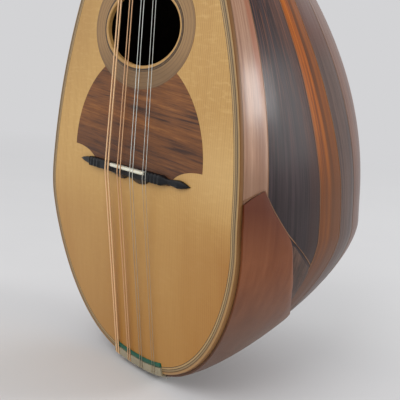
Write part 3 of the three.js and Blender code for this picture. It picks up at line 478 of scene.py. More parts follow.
def spruceFinish():
    # straight growth lines up the board, a little closer at the middle, with faint silk across them, and painted shade
    # and light over them
    wood, look = Finish("spruceBoard"), spruceLook
    across, down = wood.axis(onObject, 0), wood.axis(onObject, 2)
    drift = wood.noise(wood.place(onObject, look["driftSize"]), 3)
    bent = wood.maths("ABSOLUTE", across) + (drift - 0.5) * look["drift"]
    year = wood.maths("FRACT", bent * look["years"] - bent * bent * look["closing"])
    late = wood.spread(year, *look["lateStart"]) * wood.spread(year, *look["lateEnd"], 1, 0)
    strength = wood.spread(wood.noise(wood.place(onObject, look["strengthSize"]), 2), *look["strength"])
    silk = wood.noise(wood.place(onObject, look["silkSize"]), 3, 0.6, 0.4)
    cloud = wood.noise(wood.place(onObject, look["cloudSize"]), 3)
    broad = wood.noise(wood.place(onObject, look["broadSize"]), 3)
    colour = wood.mix(wood.spread(cloud, *look["cloud"]), *look["ground"])
    colour = wood.mix(late * strength * look["lateShare"], colour, look["late"])
    silken = wood.spread(silk, *look["silken"]) * wood.spread(down, *look["silkHigh"])
    colour = wood.mix(silken, colour, look["silk"])
    below = wood.spread(down, *look["bend"])
    # painted shade at the right side below the bend, made patchy with broad noise
    rightShade = below * wood.spread(across, *look["rightShadeAcross"]) * wood.spread(broad, *look["rightShadeBroad"])
    colour = wood.mix(rightShade, colour, look["rightShade"])
    # painted shade: darker below the bend, where the board is canted, and towards the tail, mixed with a random broad
    # tone
    bendShare, downShare, broadShare = look["shadeToneShares"]
    shadeAndTone = below * bendShare + wood.spread(down, *look["down"]) * downShare
    shadeAndTone = shadeAndTone + wood.spread(broad, *look["toneBroad"]) * broadShare
    colour = wood.mix(shadeAndTone, colour, look["shadeAndTone"])
    left = wood.spread(across, *look["shadedLeft"]) * wood.spread(down, *look["shadedHigh"])
    colour = wood.mix(left * look["shadedShare"], colour, look["shaded"])
    right = wood.spread(across, *look["litRight"]) * wood.spread(down, *look["litAbove"])
    right = right * wood.spread(down, *look["litBelow"])
    colour = wood.mix(right * look["litShare"], colour, look["lit"])
    return wood.surface({"Coat Roughness": 0.25, "Specular IOR Level": 0.2},
                        {"Base Color": colour, "Roughness": wood.spread(cloud, *look["rough"]), "Coat Weight": 0.1,
                         "Normal": wood.bump(late * look["lateRise"] + silk * look["silkRise"],
                                             look["relief"] * mm, look["bump"])})


inlaid = {"speckSize": (260, 2600, 1), "speck": (0.35, 0.7), "speckShare": 0.35, "rough": (0.3, 0.7, 0.36, 0.5),
          "relief": 0.02, "bump": 0.5}


def lineFinish(name, look):
    # lines that follow an inlay's own edge: bands across the second surface coordinate
    inlay = Finish(name)
    share = inlay.axis(onSurface, 1) / (look["width"] * mm)
    colour = inlay.ramp(share, look["bands"], "CONSTANT")
    speck = inlay.noise(inlay.place(onSurface, inlaid["speckSize"]), 4, 0.6)
    colour = inlay.mix(inlay.spread(speck, *inlaid["speck"]) * inlaid["speckShare"], colour, look["speck"])
    for extra in look.get("extra", []):
        colour = extra(inlay, colour)
    return inlay.surface({"Coat Roughness": 0.25, "Specular IOR Level": 0.2},
                         {"Base Color": colour, "Roughness": inlay.spread(speck, *inlaid["rough"]),
                          "Coat Weight": 0.14, "Normal": inlay.bump(speck, inlaid["relief"] * mm, inlaid["bump"])})


plated = {"cloudSize": (160, 160, 160), "brush": (900, 900, 60), "cloud": (0.35, 0.7), "cloudShare": 0.6,
          "scratchShare": 0.4, "shine": (0.3, 0.7), "relief": 0.008, "bump": 0.5}


def metalFinish(name, look):
    # clouded between a dull and a bright colour, with fine scratches
    metal = Finish(name)
    cloud = metal.noise(metal.place(onObject, plated["cloudSize"]), 4, 0.6)
    scratch = metal.noise(metal.place(onObject, look.get("brush", plated["brush"])), 3, 0.7)
    colour = metal.mix(metal.spread(cloud, *plated["cloud"]), look["dull"], look["bright"])
    for extra in look.get("extra", []):
        colour = extra(metal, colour)
    mixed = cloud * plated["cloudShare"] + scratch * plated["scratchShare"]
    shine = metal.spread(mixed, *plated["shine"], *look["rough"])
    return metal.surface({}, {"Base Color": colour, "Metallic": 1.0, "Roughness": shine,
                              "Normal": metal.bump(scratch, plated["relief"] * mm, plated["bump"])})


winding = {"pitch": 0.42, "depth": 0.06, "metallic": 0.2, "rough": (0.5, 0.3), "cloudSize": (90, 200, 1),
           "bump": 0.8}


def windingFinish(name, groove, crest, bright):
    # fine wire wound on a core: ridges along the first surface coordinate
    wire = Finish(name)
    ridge = wire.maths("SINE", wire.axis(onSurface, 0) * (2 * pi / (winding["pitch"] * mm))) * 0.5 + 0.5
    cloud = wire.noise(wire.place(onSurface, winding["cloudSize"]), 3)
    colour = wire.mix(ridge, groove, wire.mix(cloud, crest, bright))
    return wire.surface({}, {"Base Color": colour, "Metallic": winding["metallic"],
                             "Roughness": wire.spread(ridge, 0, 1, *winding["rough"]),
                             "Normal": wire.bump(ridge, winding["depth"] * mm, winding["bump"])})


veined = {"cloudSize": (120, 120, 120), "veinSize": (60, 900, 900), "vein": (0.55, 0.75), "veinShare": 0.3,
          "glowRadius": (1, 0.8, 0.6), "glowScale": 0.6, "rough": (0.3, 0.7, 0.3, 0.45), "relief": 0.02, "bump": 0.4}


def boneFinish(name, light, dark, glow=0.3):
    # clouded, with faint veins across the instrument, and light that passes a little way in
    bone = Finish(name)
    cloud = bone.noise(bone.place(onObject, veined["cloudSize"]), 3)
    vein = bone.noise(bone.place(onObject, veined["veinSize"]), 3, 0.6)
    colour = bone.mix(cloud, dark, light)
    colour = bone.mix(bone.spread(vein, *veined["vein"]) * veined["veinShare"], colour, dark)
    return bone.surface({"Coat Roughness": 0.2, "Subsurface Weight": glow, "Subsurface Radius": veined["glowRadius"],
                         "Subsurface Scale": veined["glowScale"] * mm},
                        {"Base Color": colour, "Roughness": bone.spread(cloud, *veined["rough"]),
                         "Coat Weight": 0.2, "Normal": bone.bump(vein, veined["relief"] * mm, veined["bump"])})


feltLook = {"fuzzSize": (2600, 2600, 2600), "cloudSize": (300, 300, 300), "low": paint(4, 66, 48),
            "high": paint(12, 92, 68), "tips": paint(30, 118, 90), "fuzz": (0.5, 0.8), "tipShare": 0.3,
            "relief": 0.12, "bump": 0.8}


def feltFinish(look):
    # a clouded ground under lighter tips of fuzz
    felt = Finish("greenFelt")
    fuzz = felt.noise(felt.place(onObject, look["fuzzSize"]), 4, 0.7)
    cloud = felt.noise(felt.place(onObject, look["cloudSize"]), 3)
    colour = felt.mix(cloud, look["low"], look["high"])
    colour = felt.mix(felt.spread(fuzz, *look["fuzz"]) * look["tipShare"], colour, look["tips"])
    return felt.surface({"Sheen Weight": 0.15, "Sheen Roughness": 0.5},
                        {"Base Color": colour, "Roughness": 0.95,
                         "Normal": felt.bump(fuzz, look["relief"] * mm, look["bump"])})


spruce = spruceFinish()
black, grey, pale, gold = (paint(*c) for c in ((52, 38, 26), (148, 124, 88), (180, 148, 100), (116, 76, 34)))
purflingLines = lineFinish("edgeLines", {"width": 3.0, "speck": paint(132, 112, 84), "bands": [
    (0, black), (0.12, grey), (0.44, black), (0.56, pale), (0.88, black)]})
edgeWood = lineFinish("edgeWood", {
    "width": 4.28, "speck": paint(132, 96, 56), "extra": [heightTint(-345, -390, paint(176, 130, 78), 0.45)],
    "bands": [(0, black), (0.06, grey), (0.2, paint(178, 144, 98)), (0.36, gold), (0.86, paint(98, 64, 34))]})
ringLines = lineFinish("ringLines", {"width": 3.15, "speck": paint(150, 112, 66), "bands": [
    (0, paint(190, 148, 88)), (0.56, paint(34, 28, 24)), (0.88, paint(120, 90, 58)), (0.96, paint(40, 32, 28))]})
rosetteLines = lineFinish("rosetteLines", {
    "width": 10.4, "speck": paint(136, 106, 68), "extra": [heightTint(-256, -272, paint(98, 74, 50), 0.55)], "bands": [
        (0, paint(64, 48, 36)), (0.04, paint(158, 124, 82)), (0.14, paint(134, 102, 66)), (0.2, paint(154, 120, 79)),
        (0.34, paint(130, 98, 64)), (0.39, paint(152, 118, 77)), (0.6, paint(134, 102, 66)),
        (0.65, paint(152, 118, 77)), (0.84, paint(126, 96, 63)), (0.9, paint(147, 113, 75)),
        (0.96, paint(102, 74, 47))]})
nickel = metalFinish("nickelPlate", {"bright": paint(206, 202, 192), "dull": paint(166, 160, 148),
                                     "rough": (0.22, 0.4)})
brass = metalFinish("brassGear", {"bright": paint(214, 178, 108), "dull": paint(168, 132, 74), "rough": (0.25, 0.45)})
fretMetal = metalFinish("fretMetal", {"bright": paint(214, 208, 190), "dull": paint(178, 170, 150),
                                      "rough": (0.2, 0.36)})
# lower down the plain strings turn browner and darker: a painted reflection of the board and painted shadow
steelWire = metalFinish("plainSteel", {
    "bright": paint(250, 253, 246), "dull": paint(228, 233, 224), "rough": (0.26, 0.4), "brush": (900, 900, 3),
    "extra": [heightTint(-322, -344, paint(168, 142, 108), 0.75)]})
bronzeWire = windingFinish("woundBronze", paint(214, 158, 106), paint(254, 210, 160), paint(255, 232, 190))
dullBronze = windingFinish("woundBronzeDull", paint(190, 138, 94), paint(228, 182, 136), paint(244, 206, 164))
bone = boneFinish("bone", paint(226, 222, 204), paint(196, 188, 164))
saddleBone = boneFinish("saddleBone", paint(232, 230, 214), paint(206, 200, 178))
edgeBone = boneFinish("edgeBone", paint(166, 156, 130), paint(132, 122, 98))
buttonBone = boneFinish("buttonBone", paint(236, 228, 204), paint(212, 198, 166), 0.4)
pearl = boneFinish("pearlDot", paint(236, 238, 234), paint(206, 214, 214))
felt = feltFinish(feltLook)
staveLine = woodFinish("staveLineWood", {
    "fine": 0.3, "streak": 1, "length": 30, "lay": alongUv,
    "colours": [(0, paint(112, 78, 52)), (1, paint(142, 102, 70))], "pore": 0.2,
    "poreColour": paint(84, 58, 40), "roughness": 0.36, "coat": 0.2, "gloss": 0.2})
print("finishes made")


# the body's form

form = {"half": 97.7, "neckHalf": 19, "jointZ": -144.794, "widestZ": -355.7, "tailZ": -450.8, "bridgeZ": -330,
        "holeZ": -247, "bendZ": -348, "blend": 10, "cant": 7.2, "depth": 171, "rimDrop": 2.9,
        "shoulder": 2.18, "tailSide": 0.8, "tailEnd": 1.24, "upperDepth": 1.065, "upperEase": 0.07, "easeBy": 0.4,
        "lowerDepth": 2.21}
probe = 0.002  # a small step along the outline or round the bowl, for slopes


def outline(t):
    # half width: a power curve from the neck (t 0) to the widest place (t 1), then near an ellipse to the tail (t 2)
    t = np.asarray(t, float)
    rise = np.maximum(1 - t, 0)
    turn = np.clip(t - 1, 0, 1) * pi / 2
    upper = form["half"] - (form["half"] - form["neckHalf"]) * rise ** form["shoulder"]
    lower = form["half"] * np.maximum(np.cos(turn), 0) ** form["tailSide"]
    upperZ = form["widestZ"] + (form["jointZ"] - form["widestZ"]) * rise
    lowerZ = form["widestZ"] + (form["tailZ"] - form["widestZ"]) * np.sin(turn) ** form["tailEnd"]
    return np.where(t <= 1, upper, lower), np.where(t <= 1, upperZ, lowerZ)


def boardY(z):
    # flat down to the bend behind the bridge, a parabola through it, then a straight slope to the tail
    slope = math.tan(math.radians(form["cant"]))
    into = (form["bendZ"] + form["blend"] - np.asarray(z, float)) / (2 * form["blend"])
    bent = slope * form["blend"] * into ** 2
    return np.where(into <= 0, 0, np.where(into >= 1, slope * (form["bendZ"] - z), bent))


def bowl(t, angle):
    # half ellipses across, as wide as the outline and as deep as a power of its width, eased a little above the middle
    x, z = outline(t)
    grown = np.clip(np.asarray(t, float) / form["easeBy"], 0, 1)
    upper = form["upperDepth"] - form["upperEase"] * grown * grown * (3 - 2 * grown)
    power = np.where(np.asarray(t) < 1, upper, form["lowerDepth"])
    fall = (form["depth"] - form["rimDrop"]) * (x / form["half"]) ** power
    return at(x * np.cos(angle), boardY(z) + form["rimDrop"] + fall * np.sin(angle), z)


def lifted(t, angle, lift):
    # the bowl moved out along its own normal
    t, angle = np.asarray(t, float), np.asarray(angle, float)
    along = bowl(t + probe, angle) - bowl(t - probe, angle)
    across = bowl(t, angle + probe) - bowl(t, angle - probe)
    normal = np.cross(along, across)
    normal /= np.linalg.norm(normal, axis=-1, keepdims=True)
    return bowl(t, angle) + normal * np.asarray(lift)[..., None]


def rim(q):
    # the whole edge: q runs 0 to 2 down the right side and 2 to 4 up the left
    x, z = outline(np.where(q <= 2, q, 4 - q))
    return np.where(q <= 2, x, -x), z


def rimInset(q, inset):
    # the edge moved inwards along its normal
    (x0, z0), (x1, z1) = rim(q - probe), rim(q + probe)
    run = np.hypot(x1 - x0, z1 - z0)
    x, z = rim(q)
    return x + inset * (z1 - z0) / run, z - inset * (x1 - x0) / run


def runOf(points):
    # distance run along the first axis of a grid of points, at its middle column
    return distances(points[:, points.shape[1] // 2])


def edgeStrip(section, q):
    # a section of (inset, drop) pairs carried along the edge
    section = np.array(section, float)
    x, z = rimInset(q[:, None], section[None, :, 0])
    x[0], x[-1] = np.maximum(x[0], 0), np.minimum(x[-1], 0)
    points = at(x, boardY(z) + section[:, 1], z)
    return gridShape(points, uv=surfaceMap(runOf(points), distances(np.concatenate([section, section[:1]]))))


edgeSteps = np.concatenate([np.linspace(0, 1, 60), np.linspace(1, 3, 181)[1:-1], np.linspace(3, 4, 60)])

# staves of the bowl

staves = {"joints": [0, 0.066, 0.2275, 0.33, 0.45, 0.65, 0.86], "sway": [0, 0, 0.0245, 0.034, 0.022, 0.01, 0],
          "swayAt": [0.45, 0.64, 0.74, 0.85, 0.95, 1.12, 1.4, 2], "swayShare": [-1, -0.35, 0.15, 0.75, 1, 0.7, 0, 0],
          "end": 1.93, "thickness": 2.4, "stations": 120, "across": 14, "easeWidth": 20, "easeDrop": 0.12,
          "woods": ["pink", "dark", "orange", "grey", "rose", "dark"],
          "slots": ["pink_rosewood", "dark_rosewood", "orange_rosewood", "grey_rosewood", "pink_rosewood",
                    "dark_rosewood"],
          "grainShift": 0.31, "leftShift": 2.3, "keelShift": 5.1}


def jointAngle(k, t):
    # a joint's place on the half turn; the middle joints sway towards the rim up the bowl and back again below
    sway = np.interp(t, staves["swayAt"], staves["swayShare"])
    return (staves["joints"][k] + staves["sway"][k] * sway) * pi / 2


def staveShape(low, high, left):
    # an arc of the bowl from one joint to the next, outside and inside, with its edges eased
    t = np.linspace(0, staves["end"], staves["stations"])[:, None]
    share = np.linspace(0, 1, staves["across"])[None, :]
    start, end = jointAngle(low, t), jointAngle(high, t) if high else pi - jointAngle(low, t)
    angle = start + (end - start) * share
    angle = pi - angle if left else angle
    x, _ = outline(t)
    ease = np.minimum(np.minimum(share, 1 - share) * x / staves["easeWidth"], 1)
    outer = lifted(t, angle, -staves["easeDrop"] * (1 - ease) ** 2)
    inner = lifted(t, angle, -staves["thickness"] + 0 * share)[:, ::-1]
    points = np.concatenate([outer, inner], 1)
    width = np.linalg.norm(outer[staves["stations"] // 2, 0] - outer[staves["stations"] // 2, -1])
    side = np.concatenate([share[0] * width, share[0][::-1] * width, [0]])
    return gridShape(points, uv=surfaceMap(runOf(points), side)), width


def addStave(name, node, low, high, left, wood, slot, shift):
    # one stave, its inner face in a dark wood that paints the shade inside the bowl; the map called share runs 0 to 1
    # across its width
    shape, width = staveShape(low, high, left)
    piece = makePiece(name, shape, woods[wood](shift), instead=[node], slot=slot)
    mesh = piece.data
    mesh.materials.append(insideShade)
    column = np.arange(len(mesh.polygons) - 2) % (2 * staves["across"])
    inward = np.where((column >= staves["across"]) & (column < 2 * staves["across"] - 1), 1, 0)
    mesh.polygons.foreach_set("material_index", np.append(inward, [0, 0]).astype(np.int32))
    pairs = np.zeros(len(mesh.loops) * 2, np.float32)
    mesh.uv_layers["along"].data.foreach_get("uv", pairs)
    pairs[1::2] /= width * mm
    mesh.uv_layers.new(name="share").data.foreach_set("uv", pairs)
    mesh.uv_layers["along"].active_render = True


for k, (wood, slot) in enumerate(zip(staves["woods"], staves["slots"])):
    shift = staves["grainShift"] * k
    addStave(f"staveRight{k + 1}", f"rib_right_{k + 1}", k, k + 1, False, wood, slot, shift)
    addStave(f"staveLeft{k + 1}", f"rib_left_{k + 1}", k, k + 1, True, wood, slot, shift + staves["leftShift"])
addStave("staveKeel", "rib_keel", 6, 0, False, "orange", "orange_rosewood", staves["keelShift"])

# thin light strips in the joints, flush with the staves

strip = {"stations": 110, "short": 0.005, "half": 0.16, "rise": 0.03, "sunk": -0.5, "girth": [0, 0.6, 1.1, 1.7, 2.2]}
t = np.linspace(0.0, staves["end"] - strip["short"], strip["stations"])
lines = []
for k in range(1, 7):
    for left in (False, True):
        angle = pi - jointAngle(k, t) if left else jointAngle(k, t)
        pace = np.linalg.norm(bowl(t, angle + probe) - bowl(t, angle), axis=1) / probe
        turn = strip["half"] / pace
        grid = np.stack([lifted(t, angle + way * turn, lift + 0 * t) for way, lift in (
            (-1, strip["rise"]), (1, strip["rise"]), (1, strip["sunk"]), (-1, strip["sunk"]))], 1)
        lines.append(gridShape(grid, uv=surfaceMap(runOf(grid), strip["girth"])))
makePiece("staveLines", lines, staveLine)
print("bowl made")

# soundboard, its inlays and edge

board = {"thickness": 2.4, "edge": 1.7, "lines": 2.95, "edgeHeight": 2.6, "holeX": 37, "holeZ": 21.8, "ring": 2.8,
         "rosette": 10.4, "proud": 0.05, "inlay": 1.0, "overlap": 0.4, "rays": 50, "raySpread": 1.15, "neckSteps": 14,
         "ringLip": 0.35, "ringRise": 0.25, "ringBelow": 0.1, "ringRound": 0.5, "holeSteps": 160,
         "edgeRise": 0.12, "edgeRound": 0.9, "edgeBelow": 0.25}


def boardShape():
    # rays from the hole's edge out to the body's edge, front and back joined into one closed skin
    q = np.concatenate([edgeSteps, 4 + np.linspace(0, 1, board["neckSteps"])[1:-1]])
    x, z = rimInset(np.minimum(q, 4), board["edge"] + board["lines"] - board["overlap"])
    tip, last = q > 4, len(edgeSteps) - 1
    x = np.where(tip, x[last] + (x[0] - x[last]) * (q - 4), x)
    z = np.where(tip, z[0], z)
    turn = np.arctan2((z - form["holeZ"]) / board["holeZ"], x / board["holeX"])
    holeX, holeZ = board["holeX"] * np.cos(turn), form["holeZ"] + board["holeZ"] * np.sin(turn)
    share = (np.linspace(0, 1, board["rays"]) ** board["raySpread"])[:, None]
    gridX, gridZ = holeX + (x - holeX) * share, holeZ + (z - holeZ) * share
    front = at(gridX, boardY(gridZ), gridZ)
    back = at(gridX, boardY(gridZ) + board["thickness"], gridZ)[::-1]
    return gridShape(np.concatenate([front, back]), loopRows=True)


def ovalStrip(inner, outer, front, back, ease=0.0):
    # a ring about the hole, its section given by two offsets from the hole's edge
    turn = fullTurn(board["holeSteps"])[:, None]
    section = np.array([(inner, front + ease), (inner + ease, front), (outer, front), (outer, back), (inner, back)])
    if ease == 0:
        section = section[1:]
    x = (board["holeX"] + section[:, 0]) * np.cos(turn)
    z = form["holeZ"] + (board["holeZ"] + section[:, 0]) * np.sin(turn)
    run = np.linspace(0, 2 * pi * board["holeX"], board["holeSteps"] + 1)
    across = np.append(section[:, 0], section[0, 0]) - inner
    return gridShape(at(x, section[:, 1], z), loopRows=True, uv=surfaceMap(run, across))


makePiece("spruceTop", boardShape(), spruce, instead=["soundboard"], slot="spruce")
makePiece("soundholeRing", ovalStrip(-board["ringLip"], board["ring"], -board["ringRise"],
                                     board["thickness"] + board["ringBelow"], board["ringRound"]),
          ringLines, instead=["hole_ring"], slot="light_ring")
makePiece("soundholeRosette", ovalStrip(board["ring"], board["ring"] + board["rosette"], -board["proud"],
                                        board["inlay"]),
          rosetteLines, instead=["rosette"], slot="rosette_veneer")

guard = {"half": 66.5, "rise": 61, "cornerZ": -321.5, "baseDrop": 11, "bite": 27, "proud": 0.09, "columns": 180,
         "rows": 26, "reach": 0.9995, "least": 0.02}


def guardShape():
    # columns across: above, the lower of the arch and the rosette's edge; below, a straight base bitten at each end
    band, half, bite = board["ring"] + board["rosette"], guard["half"], guard["bite"]
    outerX, outerZ = board["holeX"] + band, board["holeZ"] + band
    x = half * np.sin(np.linspace(-pi / 2, pi / 2, guard["columns"])) * guard["reach"]
    arch = guard["cornerZ"] + guard["rise"] * np.sqrt(1 - (x / half) ** 2)
    oval = form["holeZ"] - outerZ * np.sqrt(np.maximum(1 - (x / outerX) ** 2, 0))
    top = np.where(np.abs(x) < outerX, np.minimum(arch, oval), arch)
    into = np.maximum(np.abs(x) - half + bite, 0) / bite
    base = guard["cornerZ"] - guard["baseDrop"] + guard["baseDrop"] * np.sqrt(np.maximum(1 - (1 - into) ** 2, 0))
    base = np.minimum(base, top - guard["least"])
    z = base[:, None] + (top - base)[:, None] * np.linspace(0, 1, guard["rows"])
    face = at(x[:, None], boardY(z) - guard["proud"], z)
    back = at(x[:, None], boardY(z) + board["inlay"], z)[:, ::-1]
    return gridShape(np.concatenate([face, back], 1))


makePiece("guardInlay", guardShape(), guardWood, instead=["pickguard"], slot="pickguard_rosewood")

linesFrom, linesTo = board["edge"] - 0.05, board["edge"] + board["lines"]  # the lines reach a little under the edge
inlaySection = [(linesFrom, -board["proud"]), (linesTo, -board["proud"]), (linesTo, board["inlay"]),
                (linesFrom, board["inlay"])]
makePiece("edgeLineInlay", edgeStrip(inlaySection, edgeSteps), purflingLines, instead=["edge_purfling"],
          slot="edge_lines")
edgeFoot, curve = board["edgeHeight"] + board["edgeBelow"], board["edgeRound"]
roundOuter = [(curve - curve * math.sin(a), curve - curve * math.cos(a) - board["edgeRise"])
              for a in np.linspace(0, pi / 2, 5)]
edgeSection = [(board["edge"], -board["edgeRise"])] + roundOuter + [(0, edgeFoot), (board["edge"], edgeFoot)]
makePiece("edgeBinding", edgeStrip(edgeSection, edgeSteps), edgeWood, instead=["edge_binding"], slot="edging")
print("soundboard made")

# clasp over the tail

clasp = {"tip": 3, "thickness": 1.2, "clearance": 0.35, "pole": 1.985, "rows": 40, "rowSpread": 1.15, "under": 0.02,
         "edgeDrop": 0.45, "lead": 14, "rest": 74,
         "edge": [(0, 1.25), (0.024, 1.286), (0.053, 1.318), (0.075, 1.224), (0.099, 1.15), (0.128, 1.066),
                  (0.142, 1.005), (0.157, 0.885), (0.179, 0.785), (0.227, 0.638), (0.311, 0.522), (0.44, 0.442),
                  (0.56, 0.405), (0.7, 0.375), (0.86, 0.36), (1, 0.355)]}


def stationAt(share):
    # outline station at a share of the height from the tail to the widest place
    share = np.asarray(share, float)
    above = 1 - (share - 1) * (form["widestZ"] - form["tailZ"]) / (form["jointZ"] - form["widestZ"])
    below = 1 + np.arcsin(np.clip(1 - share, 0, 1) ** (1 / form["tailEnd"])) * 2 / pi
    return np.where(share > 1, above, below)


def claspColumns(edge):
    # the upper edge on one side, sharp at its tip and smooth elsewhere, then the same mirrored
    tip = clasp["tip"]
    rising, falling = smoothThrough(edge[:tip], clasp["lead"]), smoothThrough(edge[tip - 1:], clasp["rest"])
    right = np.concatenate([rising[:-1], falling])
    angle, start = right[:, 0] * pi / 2, stationAt(right[:, 1])
    return np.append(angle, (pi - angle[:-1])[::-1]), np.append(start, start[:-1][::-1])


def shellFrom(angle, start, low, high, rows):
    # a skin over the bowl between its upper edge and the pole, that edge eased
    share = (1 - (1 - np.linspace(0, 1, rows)) ** clasp["rowSpread"])[:, None]
    t = start + (clasp["pole"] - start) * share
    outer = lifted(t, angle, high - clasp["edgeDrop"] * (share < 1e-6))
    inner = lifted(t, angle, low + 0 * t)[:, ::-1]
    return gridShape(np.concatenate([outer, inner], 1))


angle, start = claspColumns(clasp["edge"])
outside = clasp["clearance"] + clasp["thickness"]
makePiece("tailClasp", shellFrom(angle, start, clasp["under"], outside, clasp["rows"]), claspWood,
          instead=["tail_clasp"], slot="mahogany", crease=50)

# end veneer under the clasp, with a light strip along the upper part of its edge that paints the highlight of its
# bevelled edge

veneer = {"edge": [(0.0, 1.264), (0.03, 1.294), (0.057, 1.316), (0.078, 1.23), (0.102, 1.153), (0.131, 1.068),
                   (0.152, 1.018), (0.178, 0.963), (0.21, 0.9), (0.236, 0.852), (0.243, 0.837), (0.2435, 0.82),
                   (0.244, 0.66), (0.2446, 0.52), (0.256, 0.486), (0.3, 0.463), (0.44, 0.436), (0.56, 0.42), (0.7, 0.4),
                   (0.86, 0.385), (1, 0.38)],
          "rise": 0.22, "under": -0.1, "rows": 30, "lineDown": 0.845, "straight": slice(10, 2, -1), "lineAbove": 0.003,
          "lineRise": 0.04, "lineWidth": 0.0036, "girth": [0, 0.6, 1, 1.6, 2]}
angle, start = claspColumns(veneer["edge"])
makePiece("endVeneer", shellFrom(angle, start, veneer["under"], veneer["rise"], veneer["rows"]), endWood, crease=50)


def edgeLine(angle, start):
    # a thin light strip laid along the veneer's upper edge, a painted highlight
    high, low, width = veneer["rise"] + veneer["lineRise"], veneer["under"], veneer["lineWidth"]
    grid = np.stack([lifted(start - veneer["lineAbove"] + step, angle, lift + 0 * start) for step, lift in (
        (0, high), (width, high), (width, low), (0, low))], 1)
    return gridShape(grid, uv=surfaceMap(runOf(grid), veneer["girth"]))


lineEnd = np.interp(veneer["lineDown"], *zip(*[pair[::-1] for pair in veneer["edge"][veneer["straight"]]])) * pi / 2
lined = angle < lineEnd
bothSides = [edgeLine(angle[lined], start[lined]), edgeLine((pi - angle[lined])[::-1], start[lined][::-1])]
# the light strips on both sides are a painted highlight of the bevelled edge
makePiece("veneerEdgeHighlight", bothSides, staveLine)
print("clasp made")

# bone edge and felt at the tail

tail = {"left": 22, "right": 30, "wall": 1.3, "width": 4, "proud": 1.4, "steps": 300, "foot": 2.4, "rest": -0.02,
        "round": 0.9, "notch": (0.35, 0.62), "notchAbove": -0.6, "endAbove": -0.3, "endSpread": 2.5,
        "boneEnds": 0.25, "felt": 2.6, "feltGap": 0.15, "feltRise": 1.0, "feltEnds": 0.3}
tailY = float(boardY(form["tailZ"]))
halvings = {"edge": 40, "surface": 36}  # steps of each search by halving


def rimShare(x):
    # station q on the edge at a place across the tail, right side below 2 and left side above
    low, high = 1.0, 2.0
    for _ in range(halvings["edge"]):
        middle = (low + high) / 2
        low, high = (middle, high) if outline(middle)[0] > abs(x) else (low, middle)
    return low if x > 0 else 4 - low


def rimZ(x):
    return float(outline(rimShare(x) if x > 0 else 4 - rimShare(x))[1])


strings = {"names": ["g1", "g2", "d1", "d2", "a1", "a2", "e1", "e2"],
           "radii": [0.5, 0.5, 0.34, 0.34, 0.2, 0.2, 0.15, 0.15],
           "post": [0, 1, 2, 3, 3, 2, 1, 0], "nut": (7.5, 2.2), "bridge": (13.2, 3.1), "tail": (13.2, 2.3),
           "tailShift": 2.0, "wraps": [3, 3, 4, 4, 6, 6, 7, 7], "nutBase": 4.35, "saddleBase": 5.15, "sink": 0.3,
           "bridgeShift": 1.0, "saddleZ": (-327.0, -331.4), "metals": [bronzeWire, dullBronze, steelWire, steelWire],
           "corners": [0, 1.5, 0.6, 1.0, 0.4, 0.8, 0.7, 0.6, 0.8, 0.8, 0]}


def acrossAt(index, spacing):
    # a string's place across, from the spacing of the pairs and the spacing in a pair
    return (index // 2 - 1.5) * spacing[0] + (index % 2 - 0.5) * spacing[1]


def tailX(index):
    return strings["tailShift"] + acrossAt(index, strings["tail"])


def notches(x, places, depth, wide):
    # smooth dips in a top edge, one under each string
    x = np.asarray(x)[..., None]
    return depth * np.exp(-((x - np.array(places)) / wide) ** 4).max(-1)


def tailStrip(section, ends, notched=False):
    # a section of (inset, drop) pairs carried round the tail's edge, lower towards both ends
    q = np.linspace(rimShare(tail["right"]), rimShare(-tail["left"]), tail["steps"])
    inset, drop = np.array(section, float).T[:, None, :] + 0 * q[:, None]
    x, z = rimInset(q[:, None], inset)
    level = drop
    if notched:
        dip = notches(x, [tailX(k) for k in range(8)], *tail["notch"])
        drop = np.where(level < tail["notchAbove"], drop + dip, drop)
    end = np.minimum(np.arange(len(q)), np.arange(len(q))[::-1])[:, None]
    drop = drop + np.where(level < tail["endAbove"], ends * np.exp(-end / tail["endSpread"]), 0)
    return gridShape(at(x, boardY(z) + drop, z))


wall, wide, proud, curve, rest = (tail[key] for key in ("wall", "width", "proud", "round", "rest"))
arc = [(-wall + wall * curve * (1 - math.cos(a)), -proud + curve * (1 - math.sin(a)))
       for a in np.linspace(0, pi / 2, 6)]
boneSection = [(-wall, tail["foot"])] + arc + [
    (wide - 0.6, -proud), (wide - 0.2, -proud + 0.12), (wide, -proud + 0.45), (wide, rest),
    (-0.15, rest), (-0.15, tail["foot"])]
makePiece("tailEdgeGuard", tailStrip(boneSection, tail["boneEnds"], True), edgeBone, instead=["tail_edge_guard"],
          slot="bone", crease=40)
feltFrom = wide + tail["feltGap"]
feltTop = [(feltFrom + tail["felt"] * (0.5 - 0.5 * math.cos(a)), -tail["feltRise"] * (0.55 + 0.45 * math.sin(a)))
           for a in np.linspace(0, pi, 9)]
feltSection = [(feltFrom, rest / 2)] + feltTop + [(feltFrom + tail["felt"], rest / 2)]
makePiece("feltStrip", tailStrip(feltSection, tail["feltEnds"]), felt, instead=["felt_strip"], slot="felt", crease=60)

# metal tailpiece, its hooks and screws

plate = {"top": tailY + 3.2, "depth": 22, "half": 27, "lift": 2.3, "thick": 1.1, "hookIn": 8, "rows": 40, "columns": 90,
         "corner": 5, "cornerFrom": 0.8, "cornerRun": 0.2, "taper": 2.2, "scallop": 1.0, "scallops": 1.5, "hook": 0.9,
         "hookRise": 2.8, "screws": [(-17, 18.6), (2, 18.2), (21, 18.6)]}
hookY = plate["top"] + plate["depth"] - plate["hookIn"]


